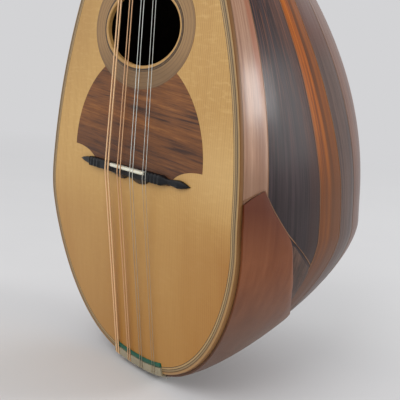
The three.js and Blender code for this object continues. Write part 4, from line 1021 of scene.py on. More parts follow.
def bowlZ(x, y):
    # height of the tail end's surface over a place (x, y), found by halving the stations
    x, y = np.broadcast_arrays(np.asarray(x, float), np.asarray(y, float))
    low, high = np.full(x.shape, 1.0), np.full(x.shape, clasp["pole"])
    for _ in range(halvings["surface"]):
        middle = (low + high) / 2
        reach, z = outline(middle)
        fall = (form["depth"] - form["rimDrop"]) * (reach / form["half"]) ** form["lowerDepth"]
        inside = (x / reach) ** 2 + ((y - boardY(z) - form["rimDrop"]) / fall) ** 2 < 1
        low, high = np.where(inside, middle, low), np.where(inside, high, middle)
    return outline((low + high) / 2)[1]


def overPlate(x, y, away=0.0):
    # a place on the tailpiece's outer face, or away from it
    return np.array([x, y, float(bowlZ(x, y)) - plate["lift"] - plate["thick"] - away])


def tailPlate():
    # a sheet that follows the tail end, its free corners rounded and its lower edge scalloped between the hooks
    down = np.linspace(0, 1, plate["rows"])[:, None]
    share = np.linspace(-1, 1, plate["columns"])[None, :]
    near = np.maximum(down - plate["cornerFrom"], 0) / plate["cornerRun"]
    half = plate["half"] - plate["corner"] * (1 - np.sqrt(1 - np.minimum(near, 1) ** 2)) - plate["taper"] * down ** 2
    x = strings["tailShift"] + half * share
    scallop = plate["scallop"] * down ** 6 * np.cos(share * pi * plate["scallops"]) ** 2
    y = plate["top"] + plate["depth"] * down - scallop
    inner = at(x, y, bowlZ(x, y) - plate["lift"])
    outer = inner - np.array([0, 0, plate["thick"]])
    return gridShape(np.concatenate([outer, inner[:, ::-1]], 1))


def tailHook(x):
    # a turned post with a rounded lip, standing out from the plate towards -Z
    r, h = plate["hook"], plate["hookRise"]
    profile = [(0.01, -0.3), (r * 1.25, -0.3), (r * 1.2, 0.1), (r, 0.35), (r, h - 0.9), (r * 1.25, h - 0.6),
               (r * 1.3, h - 0.3), (r * 0.9, h), (0.01, h + 0.08)]
    foot = overPlate(x, hookY)[2]
    return lathe([(radius, foot - rise) for radius, rise in profile], 24, "z", (x, hookY, 0))


makePiece("tailpieceMetal", [tailPlate()] + [tailHook(tailX(k)) for k in range(8)], nickel, instead=["tailpiece"],
          slot="nickel", crease=40)

screw = {"tail": {"radius": 2.3, "rise": 0.95, "slot": 0.55}, "head": {"radius": 1.7, "rise": 0.75, "slot": 0.45},
         "length": 15, "width": 7, "reach": 0.97, "flank": 0.35, "sunk": -0.2, "foot": 0.28, "sides": 24,
         "turn": (0.6, 0.9, 0.37)}  # a slot's own angle, then what its side and its height add


def screwHead(put, look):
    # a domed head in two halves, one each side of its slot, over a thin round foot; put places (across, along, rise)
    radius, rise, slot = look["radius"], look["rise"], look["slot"]
    along = radius * screw["reach"] * np.sin(np.linspace(-pi / 2, pi / 2, screw["length"]))[:, None]
    across = slot / 2 + (np.sqrt(radius ** 2 - along ** 2) - slot / 2) * np.linspace(0, 1, screw["width"])
    domed = np.sqrt(np.maximum(1 - (along ** 2 + across ** 2) / radius ** 2, 0))
    dome = rise * (screw["flank"] + (1 - screw["flank"]) * domed)
    parts = []
    for way in (-1, 1):
        top, under = at(way * across, along, dome), at(way * across, along, screw["sunk"])[:, ::-1]
        parts.append(gridShape(put(np.concatenate([top, under], 1))))
    turn, lip = fullTurn(screw["sides"]), rise * screw["foot"]
    foot = [at(r * np.cos(turn), r * np.sin(turn), h) for r, h in (
        (0.01, screw["sunk"]), (radius, screw["sunk"]), (radius, lip), (0.01, lip))]
    return parts + [gridShape(put(np.array(foot)))]


def onPlate(x, y):
    # places points given about (x, y) on the tailpiece's outer face, rising away from it
    def put(points):
        placeX, placeY = x + points[..., 0], y + points[..., 1]
        return at(placeX, placeY, bowlZ(placeX, placeY) - plate["lift"] - plate["thick"] - points[..., 2])
    return put


screws = [part for x, y in plate["screws"] for part in screwHead(onPlate(x, plate["top"] + y), screw["tail"])]
makePiece("tailScrews", screws, brass, crease=40)
print("tail made")

# strings, from the turns on each post to the loop over each hook

head = {"tilt": math.radians(12), "start": 4.3, "posts": [30, 53, 76, 99]}  # its outline follows below


def onHead(points):
    # the head's own frame, tilted back from the nut
    points, cos, sin = np.asarray(points, float), math.cos(head["tilt"]), math.sin(head["tilt"])
    x, y, z = points[..., 0], points[..., 1], points[..., 2]
    return at(x, y * cos + z * sin, head["start"] - y * sin + z * cos)


def onHeadShape(shape):
    return {**shape, "points": onHead(shape["points"])}


post = {"offset": 22, "radius": 3, "top": -13, "wrap": -4.7, "worm": 20.2, "side": [-1] * 4 + [1] * 4,
        "foot": [(3, 17.15), (3.8, 17.15), (3.8, 18.9), (1.6, 18.9), (1.6, 21.5), (0.01, 21.5)]}


loop = {"reach": 4.2, "lift": 0.35, "least": 0.7, "gap": 0.12, "twist": 3.6, "turns": 6, "thin": 0.8, "points": 60}


def stringPath(k):
    # from its post over the nut and the saddle, over the bone edge, and down the plate to its hook
    r, side = strings["radii"][k], post["side"][k]
    start = onHead([side * (post["offset"] - post["radius"] - r), post["wrap"], head["posts"][strings["post"][k]]])
    nutX, bridgeX, x = acrossAt(k, strings["nut"]), strings["bridgeShift"] + acrossAt(k, strings["bridge"]), tailX(k)
    nutY, saddleY = -strings["nutBase"] - r, -strings["saddleBase"] - r
    sill = rimZ(x)
    inner = sill + tail["width"] - 0.3
    lie = -tail["proud"] - r + strings["sink"]
    places = [start, (nutX, nutY + 0.42, 4), (nutX, nutY, 0), *((bridgeX, saddleY, z) for z in strings["saddleZ"]),
              (x, float(boardY(inner)) + lie, inner), (x, float(boardY(sill)) + lie + 0.1, sill - 0.3),
              (x, float(boardY(sill)) + 1.2, sill - tail["wall"] - r + 0.15),
              overPlate(x, plate["top"] + 0.5, r + 0.15), overPlate(x, (plate["top"] + hookY) / 2, r + 0.25),
              overPlate(x, hookY - loop["reach"], r + loop["lift"])]
    return softCorners(places, strings["corners"], 5)


def stringLoop(k):
    # the closed loop about a hook and the wire twisted back on itself above it
    r, x = strings["radii"][k], tailX(k)
    ring = plate["hook"] + r + loop["gap"]
    turn = np.linspace(-0.25 * pi, 1.25 * pi, loop["points"] // 2)
    bend = [(ring * math.cos(a), ring * math.sin(a)) for a in turn]
    flat = [(0.0, -loop["reach"])] + bend + [(-0.05, 0.1 - loop["reach"])]
    path = [overPlate(x + a, hookY + b, max(r + loop["lift"], loop["least"])) for a, b in flat]
    twist = np.linspace(0, 1, loop["points"])
    core = np.array([overPlate(x, hookY - loop["reach"] - loop["twist"] * s, r + loop["lift"]) for s in twist])
    turned = twist * 2 * pi * loop["turns"]
    reach = r * 2 * at(np.cos(turned), 0, np.sin(turned))
    return [tube(path, r * loop["thin"], 8, side=(0, 0.1, 1)), tube(core + reach, r * loop["thin"], 6, side=(0, 1, 0))]


for k, name in enumerate(strings["names"]):
    makePiece(f"string{name.upper()[0]}{name[1]}", [tube(stringPath(k), strings["radii"][k])] + stringLoop(k),
              strings["metals"][k // 2], instead=[f"string_{name}"], slot="bronze" if k < 4 else "steel", crease=50)
print("strings made")

# floating bridge and its saddle

bridge = {"half": 57.5, "deep": 2.9, "height": 3.9, "ledge": (-18.0, 18.9), "ledgeRise": 2.4, "back": 0.15,
          "columns": 620,
          "front": [(-1, 0.04), (-0.95, 0.36), (-0.88, 0.62), (-0.82, 0.7), (-0.775, 0.74), (-0.76, 1.0), (-0.55, 1.0),
                    (-0.53, 0.94), (0, 0.88), (0.33, 0.9), (0.345, 1.0), (0.585, 1.0), (0.62, 0.74), (0.66, 0.54),
                    (0.7, 0.52), (0.76, 0.68), (0.83, 0.84), (0.89, 0.74), (0.95, 0.42), (1, 0.04)],
          "rear": [(-1, 0.04), (-0.95, 0.34), (-0.88, 0.58), (-0.82, 0.68), (-0.775, 0.76), (-0.76, 1.0), (-0.55, 1.04),
                   (-0.53, 1.0), (0, 1.0), (0.33, 1.0), (0.345, 1.08), (0.585, 1.04), (0.62, 0.8), (0.66, 0.56),
                   (0.7, 0.52), (0.76, 0.62), (0.83, 0.76), (0.89, 0.66), (0.95, 0.38), (1, 0.04)],
          "top": [(-1, 0.26), (-0.92, 0.46), (-0.83, 0.58), (-0.775, 0.68), (-0.76, 0.86), (-0.55, 0.92), (-0.53, 0.88),
                  (-0.345, 0.96), (-0.33, 1), (0.33, 1), (0.345, 0.92), (0.585, 0.9), (0.63, 0.72), (0.68, 0.58),
                  (0.74, 0.56), (0.84, 0.6), (0.92, 0.5), (1, 0.26)],
          "lobes": [(-0.33, 0), (-0.28, 0.5), (-0.22, 0.85), (-0.16, 0.95), (-0.1, 0.85), (-0.05, 0.35), (0, 0.1),
                    (0.05, 0.45), (0.1, 0.9), (0.17, 1.05), (0.24, 0.95), (0.3, 0.6), (0.33, 0)],
          "beads": [(-0.755, -0.555, 3), (0.35, 0.585, 4)], "beadRound": 0.7, "beadDepth": 0.18, "beadHeight": 0.1,
          "arch": 0.5}


def acrossShape(x, rows, z):
    # a section of (ahead, rise) pairs that may change along x
    return gridShape(np.stack([at(x, -rise, z + ahead) for ahead, rise in rows], 1))


def bridgeShape():
    # sections across the bridge: each side's own beads and leaf end, a sloping lobed foot, an open ledge for the saddle
    x = np.sin(np.linspace(-pi / 2, pi / 2, bridge["columns"])) * bridge["half"]
    low, high = bridge["ledge"]
    x = np.sort(np.concatenate([x, [low - 0.02, low + 0.02, high - 0.02, high + 0.02]]))
    share = x / bridge["half"]
    read = lambda key: np.interp(share, *zip(*bridge[key]))
    beads = np.ones_like(share)
    for start, end, count in bridge["beads"]:
        wave = np.abs(np.sin((share - start) / (end - start) * pi * count)) ** bridge["beadRound"]
        beads = np.where((share > start) & (share < end), wave, beads)
    deep, shallow = bridge["beadDepth"], bridge["beadHeight"]
    front, rear = (read(key) * bridge["deep"] * (1 - deep + deep * beads) for key in ("front", "rear"))
    lobes = np.interp(share, *zip(*bridge["lobes"]), left=0, right=0)
    top = read("top") * bridge["height"] * (1 - shallow + shallow * beads)
    foot = 0.05 + bridge["arch"] * np.clip(lobes * 1.6 - 0.6, 0, 1)
    out = rear + lobes * bridge["deep"]
    ledge = (x > low) & (x < high)
    step = np.where(ledge, bridge["ledgeRise"], top)
    back = np.where(ledge, bridge["back"], front * 0.35)
    soft = np.minimum(0.7, top * 0.35)
    ease = np.where(ledge, 0.25, soft)
    rows = [(0.25 - out, foot), (-out, foot + 0.25), (-out + lobes * 0.5, foot + 0.9),
            (-rear - lobes * 0.3, top - soft), (-rear + soft * 0.3, top - soft * 0.3), (-rear + soft, top),
            (back - 0.01, top), (back, step), (front - ease, step), (front - ease * 0.3, step - ease * 0.3),
            (front, step - ease), (front, foot + 0.25), (front - 0.25, foot)]
    return acrossShape(x, rows, form["bridgeZ"])


makePiece("bridgeEbony", bridgeShape(), ebony, on="floating_bridge", instead=["bridge"], slot="ebony", crease=32)

saddle = {"from": -17.6, "to": 18.5, "top": 5.3, "foot": 2.45, "back": 0.42, "front": 2.38, "notch": (0.16, 0.5),
          "fall": 0.5}


def saddleShape():
    x = np.linspace(saddle["from"], saddle["to"], 260)
    middle, half = (saddle["from"] + saddle["to"]) / 2, (saddle["to"] - saddle["from"]) / 2
    places = [strings["bridgeShift"] + acrossAt(k, strings["bridge"]) for k in range(8)]
    top = saddle["top"] - notches(x, places, *saddle["notch"]) - saddle["fall"] * (np.abs(x - middle) / half) ** 8
    back, front, foot = saddle["back"], saddle["front"], saddle["foot"]
    rows = [(back, foot), (back, top - 0.5), (back + 0.3, top - 0.12), (back + 0.8, top), (front - 0.5, top - 0.06),
            (front - 0.12, top - 0.3), (front, top - 0.7), (front, foot)]
    return acrossShape(x, rows, form["bridgeZ"])


makePiece("saddleBone", saddleShape(), saddleBone, on="floating_bridge", instead=["saddle"], slot="bone", crease=40)
print("bridge made")

# neck, fingerboard, frets and nut

neck = {"nutHalf": 14.9, "nutDepth": 16, "top": 4.6, "heel": 0.625, "heelPower": 0.7, "round": 0.9, "rows": 70,
        "around": 40}


def neckShape():
    # half ovals from the body to the nut, deep at the heel and then even
    share = np.linspace(0, 1, neck["rows"])[:, None]
    deepest = form["depth"] - form["rimDrop"]
    bodyDepth = form["rimDrop"] + deepest * (form["neckHalf"] / form["half"]) ** form["upperDepth"]
    half = form["neckHalf"] + (neck["nutHalf"] - form["neckHalf"]) * share
    depth = bodyDepth + (neck["nutDepth"] - bodyDepth) * np.minimum(share / neck["heel"], 1) ** neck["heelPower"]
    turn = np.linspace(0, pi, neck["around"])[None, :]
    z = form["jointZ"] + (neck["top"] - form["jointZ"]) * share
    return gridShape(at(half * np.cos(turn), depth * np.sin(turn) ** neck["round"], z))


def flatPlate(outer, holes, front, back, soften=0.0):
    # a plate between two heights, its outline and holes given in x and z, its outer front and back edges eased
    outer = np.array(outer, float)
    ahead, behind = np.roll(outer, -1, 0), np.roll(outer, 1, 0)
    normal = np.stack([(ahead - behind)[:, 1], -(ahead - behind)[:, 0]], -1)
    normal /= np.linalg.norm(normal, axis=1, keepdims=True)
    area = np.sum(outer[:, 0] * ahead[:, 1] - ahead[:, 0] * outer[:, 1])
    inward = -normal if area > 0 else normal
    part = soften * 0.3
    levels = [(soften, front), (part, front + part), (0, front + soften), (0, back - soften), (part, back - part),
              (soften, back)]
    points, faces, ends, count = [], [], [], 0
    for wall in [[(outer + inward * cut, y) for cut, y in levels]] + [[(hole, front), (hole, back)] for hole in holes]:
        size = len(wall[0][0])
        points += [at(ring[:, 0], y, ring[:, 1]) for ring, y in wall]
        for row in range(len(wall) - 1):
            a, b = count + row * size, count + (row + 1) * size
            faces += [[a + i, a + (i + 1) % size, b + (i + 1) % size, b + i] for i in range(size)]
        last = count + (len(wall) - 1) * size
        ends.append((range(count, count + size), range(last, last + size)))
        count = last + size
    flat = np.concatenate(points)
    for side in (0, 1):
        loops = [[Vector((flat[i][0], flat[i][2], 0)) for i in end[side]] for end in ends]
        index = [i for end in ends for i in end[side]]
        faces += [[index[i] for i in triangle] for triangle in tessellate_polygon(loops)]
    return {"points": flat, "faces": faces, "uv": None}


def circle(x, z, radius):
    turn = fullTurn(28)
    return np.column_stack([x + radius * np.cos(turn), z + radius * np.sin(turn)])


head |= {"half": 32, "high": 138, "thick": 15, "veneer": 0.9, "veneerTuck": 0.02, "bore": 3.25, "soften": 0.8,
         "veneerSoften": 0.12, "cuts": [0, 3, 5, 3, 4, 4, 3, 5, 6, 6, 0],
         "corners": [(0.47, 0), (0.49, 0.05), (0.6, 0.1), (0.86, 0.135), (0.9, 0.2), (1, 0.83), (0.97, 0.87),
                     (0.8, 0.9), (0.62, 0.93), (0.4, 0.985), (0.14, 1)]}
bores = [circle(side * post["offset"], z, head["bore"]) for side in (-1, 1) for z in head["posts"]]


def headOutline():
    # the head's right edge with its corners turned into short curves, then mirrored
    right = np.array(head["corners"]) * (head["half"], head["high"])
    smooth = softCorners(np.column_stack([right, np.zeros(len(right))]), head["cuts"])[:, :2]
    return np.concatenate([smooth, smooth[::-1] * (-1, 1)])


def headPiece(name, front, back, soften, finish):
    shape = flatPlate(headOutline(), bores, front, back, soften)
    makePiece(name, onHeadShape(shape), finish, weld=True, crease=18)


makePiece("neckShaft", neckShape(), neckWood, instead=["neck"], slot="mahogany", crease=50)
headPiece("headCore", head["veneer"], head["thick"], head["soften"], neckWood)
headPiece("headVeneer", 0, head["veneer"] + head["veneerTuck"], head["veneerSoften"], guardUp)

fingerboard = {"scale": 330, "frets": 17, "top": 3.3, "foot": 0.05, "past": 3.6, "edge": 0.35, "nutWidth": 29,
               "bodyWidth": 38, "overhang": 0.4, "dots": [(5, (0,)), (7, (0,)), (10, (0,)), (12, (-6, 6)), (15, (0,))],
               "dotRadius": 2.3, "dotRise": 0.04}
fretZ = [-fingerboard["scale"] * (1 - 2 ** (-n / 12)) for n in range(1, fingerboard["frets"] + 1)]
fret = {"foot": -3.25, "rise": 0.85, "half": 0.7, "round": 0.8, "short": 0.35,
        "ends": [(0, 0.35), (0.25, 0.85), (0.7, 1)]}


def boardHalf(z):
    nutWidth, bodyWidth = fingerboard["nutWidth"], fingerboard["bodyWidth"]
    return (nutWidth + (bodyWidth - nutWidth) * z / form["jointZ"]) / 2 + fingerboard["overhang"]


def fingerboardShape():
    # a section with eased edges, widening from the nut to past the last fret
    z = np.linspace(-fingerboard["foot"], fretZ[-1] - fingerboard["past"], 60)
    half, edge, top, foot = boardHalf(z), fingerboard["edge"], -fingerboard["top"], -fingerboard["foot"]
    rows = [(-half, foot), (-half, top + edge), (-half + edge * 0.3, top + edge * 0.3), (-half + edge, top),
            (half - edge, top), (half - edge * 0.3, top + edge * 0.3), (half, top + edge), (half, foot)]
    return gridShape(np.stack([at(x, y, z) for x, y in rows], 1))


def fretShape(z):
    # half an oval carried across the board, shrinking at both ends
    half = boardHalf(z) - fret["short"]
    turn = np.linspace(0, pi, 9)
    rise, along = -fret["rise"] * np.sin(turn) ** fret["round"], z + fret["half"] * np.cos(turn)
    ends = [(half - cut, size) for cut, size in fret["ends"]]
    sections = [(-x, size) for x, size in ends] + ends[::-1]
    return gridShape(np.array([at(x, fret["foot"] + rise * size, along) for x, size in sections]))


def dotShape(x, z):
    # a thin disc let into the board between two frets
    radius, top = fingerboard["dotRadius"], -fingerboard["top"] - fingerboard["dotRise"]
    under = 0.1 - fingerboard["top"]
    return lathe([(0.01, top), (radius, top + 0.01), (radius + 0.05, under), (0.01, under)], 28, "y", (x, 0, z))


makePiece("fingerboardEbony", fingerboardShape(), ebonyUp, instead=["fingerboard"], slot="ebony", crease=30)
makePiece("fretWires", [fretShape(z) for z in fretZ], fretMetal, crease=40)
dots = [dotShape(x, (fretZ[n - 1] + fretZ[n - 2]) / 2) for n, places in fingerboard["dots"] for x in places]
makePiece("positionDots", dots, pearl, crease=30)

nut = {"half": 14.5, "top": 4.75, "foot": 0.06, "thick": 4, "notch": (0.4, 0.42), "fall": 0.4}


def nutShape():
    # slotted for the strings, its top falling towards the head
    x, foot, thick = np.linspace(-nut["half"], nut["half"], 240), nut["foot"], nut["thick"]
    places = [acrossAt(k, strings["nut"]) for k in range(8)]
    top = nut["top"] - notches(x, places, *nut["notch"]) - nut["fall"] * (np.abs(x) / nut["half"]) ** 10
    rows = [(0.02, foot), (0.02, top - 0.2), (0.25, top), (2.6, top - 0.22), (3.6, top - 0.6), (thick, top - 1.1),
            (thick, foot)]
    return acrossShape(x, rows, 0)


makePiece("nutBone", nutShape(), bone, instead=["nut"], slot="bone", crease=40)
print("neck made")

# tuners

gear = {"teeth": 14, "tip": 5.95, "depth": 1.3, "thick": 2.4, "soften": 0.12,
        "shares": [(-0.27, 0), (-0.13, 1), (0.13, 1), (0.27, 0)]}
worm = {"rise": 8.0, "core": 1.8, "tip": 3.1, "pitch": 2 * pi * 5.3 / gear["teeth"], "turns": 2.25, "steps": 26,
        "shaft": 1.4, "ear": 3.87, "sunk": 0.2, "shares": np.array([(-0.23, 0), (-0.13, 1), (0.13, 1), (0.23, 0)])}
button = {"from": 12.0, "long": 12.5, "thick": 8, "high": 15, "round": 0.9,
          "at": [0, 0.04, 0.12, 0.3, 0.55, 0.75, 0.9, 0.97, 1],
          "size": [0.3, 0.38, 0.5, 0.82, 1, 0.98, 0.82, 0.56, 0.02],
          "squashAt": [0, 0.15, 0.5, 1], "squash": [1.3, 1.15, 0.95, 0.9]}
tuner = {"half": 6.75, "low": 20.6, "high": 113, "corner": 3.2, "front": 15.05, "back": 16.8, "soften": 0.25,
         "hole": 3.35, "screwAt": (4.4, 16.75), "screws": (23.6, 45.6, 68.6, 91.6), "earHalf": 0.7,
         "earFoot": (16.6, 18.4), "earWide": 2.5,
         "ear": [(1.62, -0.7), (2.5, -0.7), (2.65, -0.55), (2.65, 0.55), (2.5, 0.7), (1.62, 0.7), (1.62, -0.7)],
         "bushing": [(3.12, 0.6), (3.12, -0.75), (3.5, -0.95), (4.6, -0.75), (5.0, -0.3), (5.0, 0.02), (3.4, 0.02),
                     (3.4, 0.6), (3.12, 0.6)]}


def gearShape(x, z):
    # four corners to each tooth, two at its root and two at its tip
    ring = []
    for tooth in range(gear["teeth"]):
        for turn, rise in gear["shares"]:
            angle = (tooth + turn) * 2 * pi / gear["teeth"]
            reach = gear["tip"] - gear["depth"] * (1 - rise)
            ring.append((x + reach * math.sin(angle), z + reach * math.cos(angle)))
    half = gear["thick"] / 2
    return flatPlate(ring, [], post["worm"] - half, post["worm"] + half, gear["soften"])


wrap = {"steps": 26, "pitch": 2.08, "inward": (0.35, 0.75, 1.0), "drop": 0.5, "stub": (0.5, 1.0), "stubReach": 1.6,
        "stubRise": 0.8}


def wrapShape(k, x, z):
    # the string's last turns, wound up the post from where it leaves for the nut, then through it to a short end
    r, side, turns = strings["radii"][k], post["side"][k], strings["wraps"][k]
    turn = np.linspace(0, 2 * pi * turns, wrap["steps"] * turns)
    reach = post["radius"] + r
    high = post["wrap"] - turn / (2 * pi) * r * wrap["pitch"]
    path = at(x - side * reach * np.cos(turn), high, z + reach * np.sin(turn))
    last, drop, out = path[-1], wrap["drop"], side * (post["radius"] + wrap["stubReach"])
    inward = [last + (np.array([x, last[1] - drop, z]) - last) * s for s in wrap["inward"]]
    stub = [np.array([x + out * s, last[1] - drop - drop * s, z + wrap["stubRise"] * s * s]) for s in wrap["stub"]]
    return tube(np.concatenate([path, inward, stub]), r, 8, side=(0, 1, 0))


def postShape(x, z):
    # a domed top with a groove below it, a shaft through the head, and a hub and pin for the gear
    top, r = post["top"], post["radius"]
    profile = [(0.01, 0), (r - 0.9, 0), (r - 0.35, 0.18), (r - 0.05, 0.6), (r, 1.4), (r, 2.4), (r - 0.35, 2.9),
               (r - 0.35, 3.4), (r, 3.9), *((size, y - top) for size, y in post["foot"])]
    return lathe([(size, top + y) for size, y in profile], 32, "y", (x, 0, z))


def wormShape(x, z, side):
    # a ridge carried round the shaft in a helix, and the shaft with its collars turned about x
    share = np.linspace(0, 1, int(worm["turns"] * worm["steps"]))[:, None]
    along = (share - 0.5) * worm["turns"] * worm["pitch"]
    angle = -pi / 2 + (along - worm["pitch"] / 2) * 2 * pi / worm["pitch"]
    lie, rise = worm["shares"].T[:, None, :]
    reach = worm["tip"] - (worm["tip"] - worm["core"] + worm["sunk"]) * (1 - rise)
    thread = at(x + along + lie * worm["pitch"], post["worm"] + reach * np.cos(angle), z + reach * np.sin(angle))
    core, shaft, ear, limit, end = worm["core"], worm["shaft"], worm["ear"], worm["ear"] - 0.35, button["from"]
    profile = [(0.01, -ear - 1.7), (1.2, -ear - 1.7), (shaft, -ear - 1.5), (shaft, -limit), (core, -limit),
               (core, limit), (shaft, limit), (shaft, end - 1.5), (2.4, end - 1.4), (2.6, end - 0.7), (2.4, end),
               (2.0, end + 1.0), (0.01, end + 1.2)]
    return [gridShape(thread), lathe([(r, h * side) for r, h in profile], 24, "x", (x, post["worm"], z))]


def buttonShape(x, z, side):
    # a flattened knob: waisted at its collar, widest past the middle, rounded at the end
    along = (1 - np.cos(np.linspace(0, pi, 40))) / 2
    size = np.interp(along, button["at"], button["size"])
    squash = np.interp(along, button["squashAt"], button["squash"])
    turn = fullTurn(36)[None, :]
    curve = lambda v: np.sign(v) * np.abs(v) ** button["round"]
    y = post["worm"] + (size * squash * button["thick"] / 2)[:, None] * curve(np.sin(turn))
    high = z + (size * button["high"] / 2)[:, None] * curve(np.cos(turn))
    return gridShape(at(x + side * (button["from"] + along * button["long"])[:, None], y, high))


def earShape(x, z):
    # a ring about the shaft on a foot that stands on the plate
    half, wide, (front, back) = tuner["earHalf"], tuner["earWide"], tuner["earFoot"]
    ring = lathe(tuner["ear"], 28, "x", (x, post["worm"], z))
    return [ring, slab(x - half, x + half, front, back, z - wide, z + wide, 0.15)]


for side, label in ((-1, "Left"), (1, "Right")):
    x, half = side * post["offset"], tuner["half"]
    outer = roundedSection(-half, half, tuner["low"], tuner["high"], tuner["corner"], 8) + (x, 0)
    holes = [circle(x, z, tuner["hole"]) for z in head["posts"]]
    base = flatPlate(outer, holes, tuner["front"], tuner["back"], tuner["soften"])
    ears = [part for z in head["posts"] for way in (-1, 1)
            for part in earShape(x + way * (worm["ear"] + tuner["earHalf"]), z + worm["rise"])]
    makePiece(f"tunerPlate{label}", [onHeadShape(part) for part in [base] + ears], nickel,
              instead=[f"tuner_plate_{label.lower()}"], slot="nickel", crease=18)
    heads = []
    for way in (-1, 1):
        for z in tuner["screws"]:
            (out, depth), (first, bySide, byHeight) = tuner["screwAt"], screw["turn"]
            centre, turned = np.array([x + way * out, depth, z]), first + bySide * way + z * byHeight
            cos, sin = math.cos(turned), math.sin(turned)
            turn = np.array([[cos, 0, sin], [-sin, 0, cos], [0, 1, 0]])
            heads += screwHead(lambda points: onHead(centre + points @ turn), screw["head"])
    makePiece(f"plateScrews{label}", heads, nickel, crease=40)
    rings = [onHeadShape(lathe(tuner["bushing"], 36, "y", (x, 0, z))) for z in head["posts"]]
    makePiece(f"bushings{label}", rings, nickel, crease=40)

for k, name in enumerate(strings["names"]):
    side, z = post["side"][k], head["posts"][strings["post"][k]]
    x, high, label = side * post["offset"], z + worm["rise"], name.upper()[0] + name[1]
    onPost, onButton, wire = f"post_{name}", f"button_{name}", bronzeWire if k < 4 else steelWire
    makePiece(f"post{label}", onHeadShape(postShape(x, z)), nickel, on=onPost, instead=[onPost], slot="nickel")
    makePiece(f"gear{label}", onHeadShape(gearShape(x, z)), brass, on=onPost, crease=18)
    makePiece(f"turns{label}", onHeadShape(wrapShape(k, x, z)), wire, on=onPost, crease=50)
    makePiece(f"worm{label}", [onHeadShape(part) for part in wormShape(x, high, side)], steelWire, on=onButton,
              instead=[onButton], slot="bone")
    makePiece(f"button{label}", onHeadShape(buttonShape(x, high, side)), buttonBone, on=onButton, crease=60)
print("tuners made")

# linings, braces and blocks keep their solids

for node in ("lining_left", "lining_right", "brace_upper", "brace_lower", "neck_block", "tail_block"):
    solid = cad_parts[node]
    solid.data.materials.clear()
    solid.data.materials.append(insideWood)

# camera, light and floor

camera = {"place": (383.6, -255.2, -267.0), "aim": (66.4, 0.0, -335.0), "roll": 5.0, "focal": 786, "frame": 400,
          "sensor": 36}
eye = bpy.data.cameras.new("camera")
eye.sensor_width, eye.clip_start = camera["sensor"], 0.01
eye.lens = camera["focal"] / camera["frame"] * camera["sensor"]
eyeObject = bpy.data.objects.new("camera", eye)
look = Vector(camera["aim"]) - Vector(camera["place"])
eyeObject.location = Vector(camera["place"]) * mm
eyeObject.rotation_mode = "QUATERNION"
eyeObject.rotation_quaternion = look.to_track_quat("-Z", "Y") @ Quaternion((0, 0, 1), math.radians(camera["roll"]))
bpy.context.scene.collection.objects.link(eyeObject)
bpy.context.scene.camera = eyeObject
bpy.context.scene.view_settings.view_transform = "Standard"

studio = {"sky": 0.6, "backdrop": paint(211, 211, 213), "floor": (paint(213, 213, 215), paint(219, 219, 220)),
          "fadeFrom": 0.35, "fadeTo": 1.5, "reach": 6, "gap": 0.0004, "aim": Vector((0, 0.05, -0.3)), "lamps": [
    {"name": "keyLight", "place": (0.5, -1.1, 0.75), "size": 0.9, "power": 8.5},
    {"name": "fillLight", "place": (-0.9, -1.3, 0.1), "size": 1.2, "power": 5.0},
    {"name": "windowLight", "place": (1.11, 1.13, 0.24), "size": 0.34, "power": 7.2},
    {"name": "sideLight", "place": (0.92, 1.46, 0.1), "size": 0.7, "power": 4.4},
    {"name": "backLight", "place": (-0.5, 1.5, 0.9), "size": 1.2, "power": 6.0}]}


def shownRays(stage):
    # 1 for rays from the camera, off metal and through glass, 0 for those that light the object
    path = stage.nodes.new("ShaderNodeLightPath")
    read = lambda name: Wire(stage, path.outputs[name])
    return stage.maths("MINIMUM", read("Is Camera Ray") + read("Is Glossy Ray") + read("Is Transmission Ray"), 1.0)


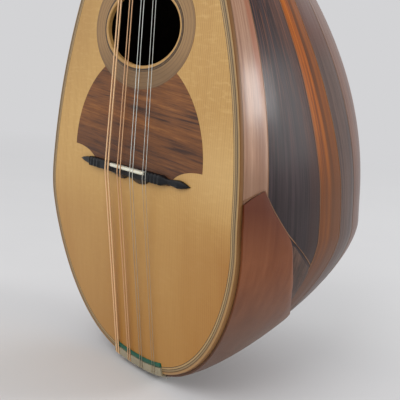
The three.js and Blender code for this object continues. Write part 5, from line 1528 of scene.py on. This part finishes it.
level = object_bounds()[0].z - studio["gap"]
turn = fullTurn(64)
floor = bpy.data.meshes.new("floor")
corners = at(studio["reach"] * np.cos(turn), studio["reach"] * np.sin(turn), level)
floor.from_pydata(corners.tolist(), [], [list(range(len(turn)))])
ground = Finish("floorPaper")
soft = ground.noise(ground.place(onObject, (7, 7, 7)), 3)
paper = ground.node("ShaderNodeBsdfDiffuse", {}, {"Color": ground.mix(soft, *studio["floor"]), "Roughness": 0.0})
glow = ground.node("ShaderNodeEmission", {}, {"Color": (*studio["backdrop"], 1), "Strength": 1.0})
away = ground.node("ShaderNodeVectorMath", {"operation": "LENGTH"}, {0: ground.place(onObject, (1, 1, 0))}, 1)
fade = ground.spread(away, studio["fadeFrom"], studio["fadeTo"]) * shownRays(ground)
blend = ground.node("ShaderNodeMixShader", {}, {0: fade, 1: paper, 2: glow})
ground.links.new(blend.socket, ground.end.inputs["Surface"])
floor.materials.append(ground.material)
floorObject = bpy.data.objects.new("floor", floor)
bpy.context.scene.collection.objects.link(floorObject)
floorObject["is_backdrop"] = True

world = bpy.data.worlds.new("studio")
bpy.context.scene.world = world
world.use_nodes = True


class Sky(Finish):
    # the world's nodes, made by name as a finish's are
    def __init__(self, world):
        self.nodes, self.links = world.node_tree.nodes, world.node_tree.links
        self.nodes.clear()
        self.end = self.nodes.new("ShaderNodeOutputWorld")


sky = Sky(world)
around = sky.node("ShaderNodeBackground", {}, {"Color": (1, 1, 1, 1), "Strength": studio["sky"]})
seen = sky.node("ShaderNodeBackground", {}, {"Color": (*studio["backdrop"], 1), "Strength": 1.0})
blend = sky.node("ShaderNodeMixShader", {}, {0: shownRays(sky), 1: around, 2: seen})
sky.links.new(blend.socket, sky.end.inputs["Surface"])
for lamp in studio["lamps"]:
    light = bpy.data.lights.new(lamp["name"], "AREA")
    light.energy, light.size, light.shape = lamp["power"], lamp["size"], "SQUARE"
    lampObject = bpy.data.objects.new(lamp["name"], light)
    lampObject.location = lamp["place"]
    lampObject.rotation_mode = "QUATERNION"
    lampObject.rotation_quaternion = (studio["aim"] - Vector(lamp["place"])).to_track_quat("-Z", "Y")
    lampObject.visible_camera = False
    bpy.context.scene.collection.objects.link(lampObject)
print("stage set")

sizes = {"cad": [list(corner) for corner in cadBox], "visual": [list(corner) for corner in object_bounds()]}
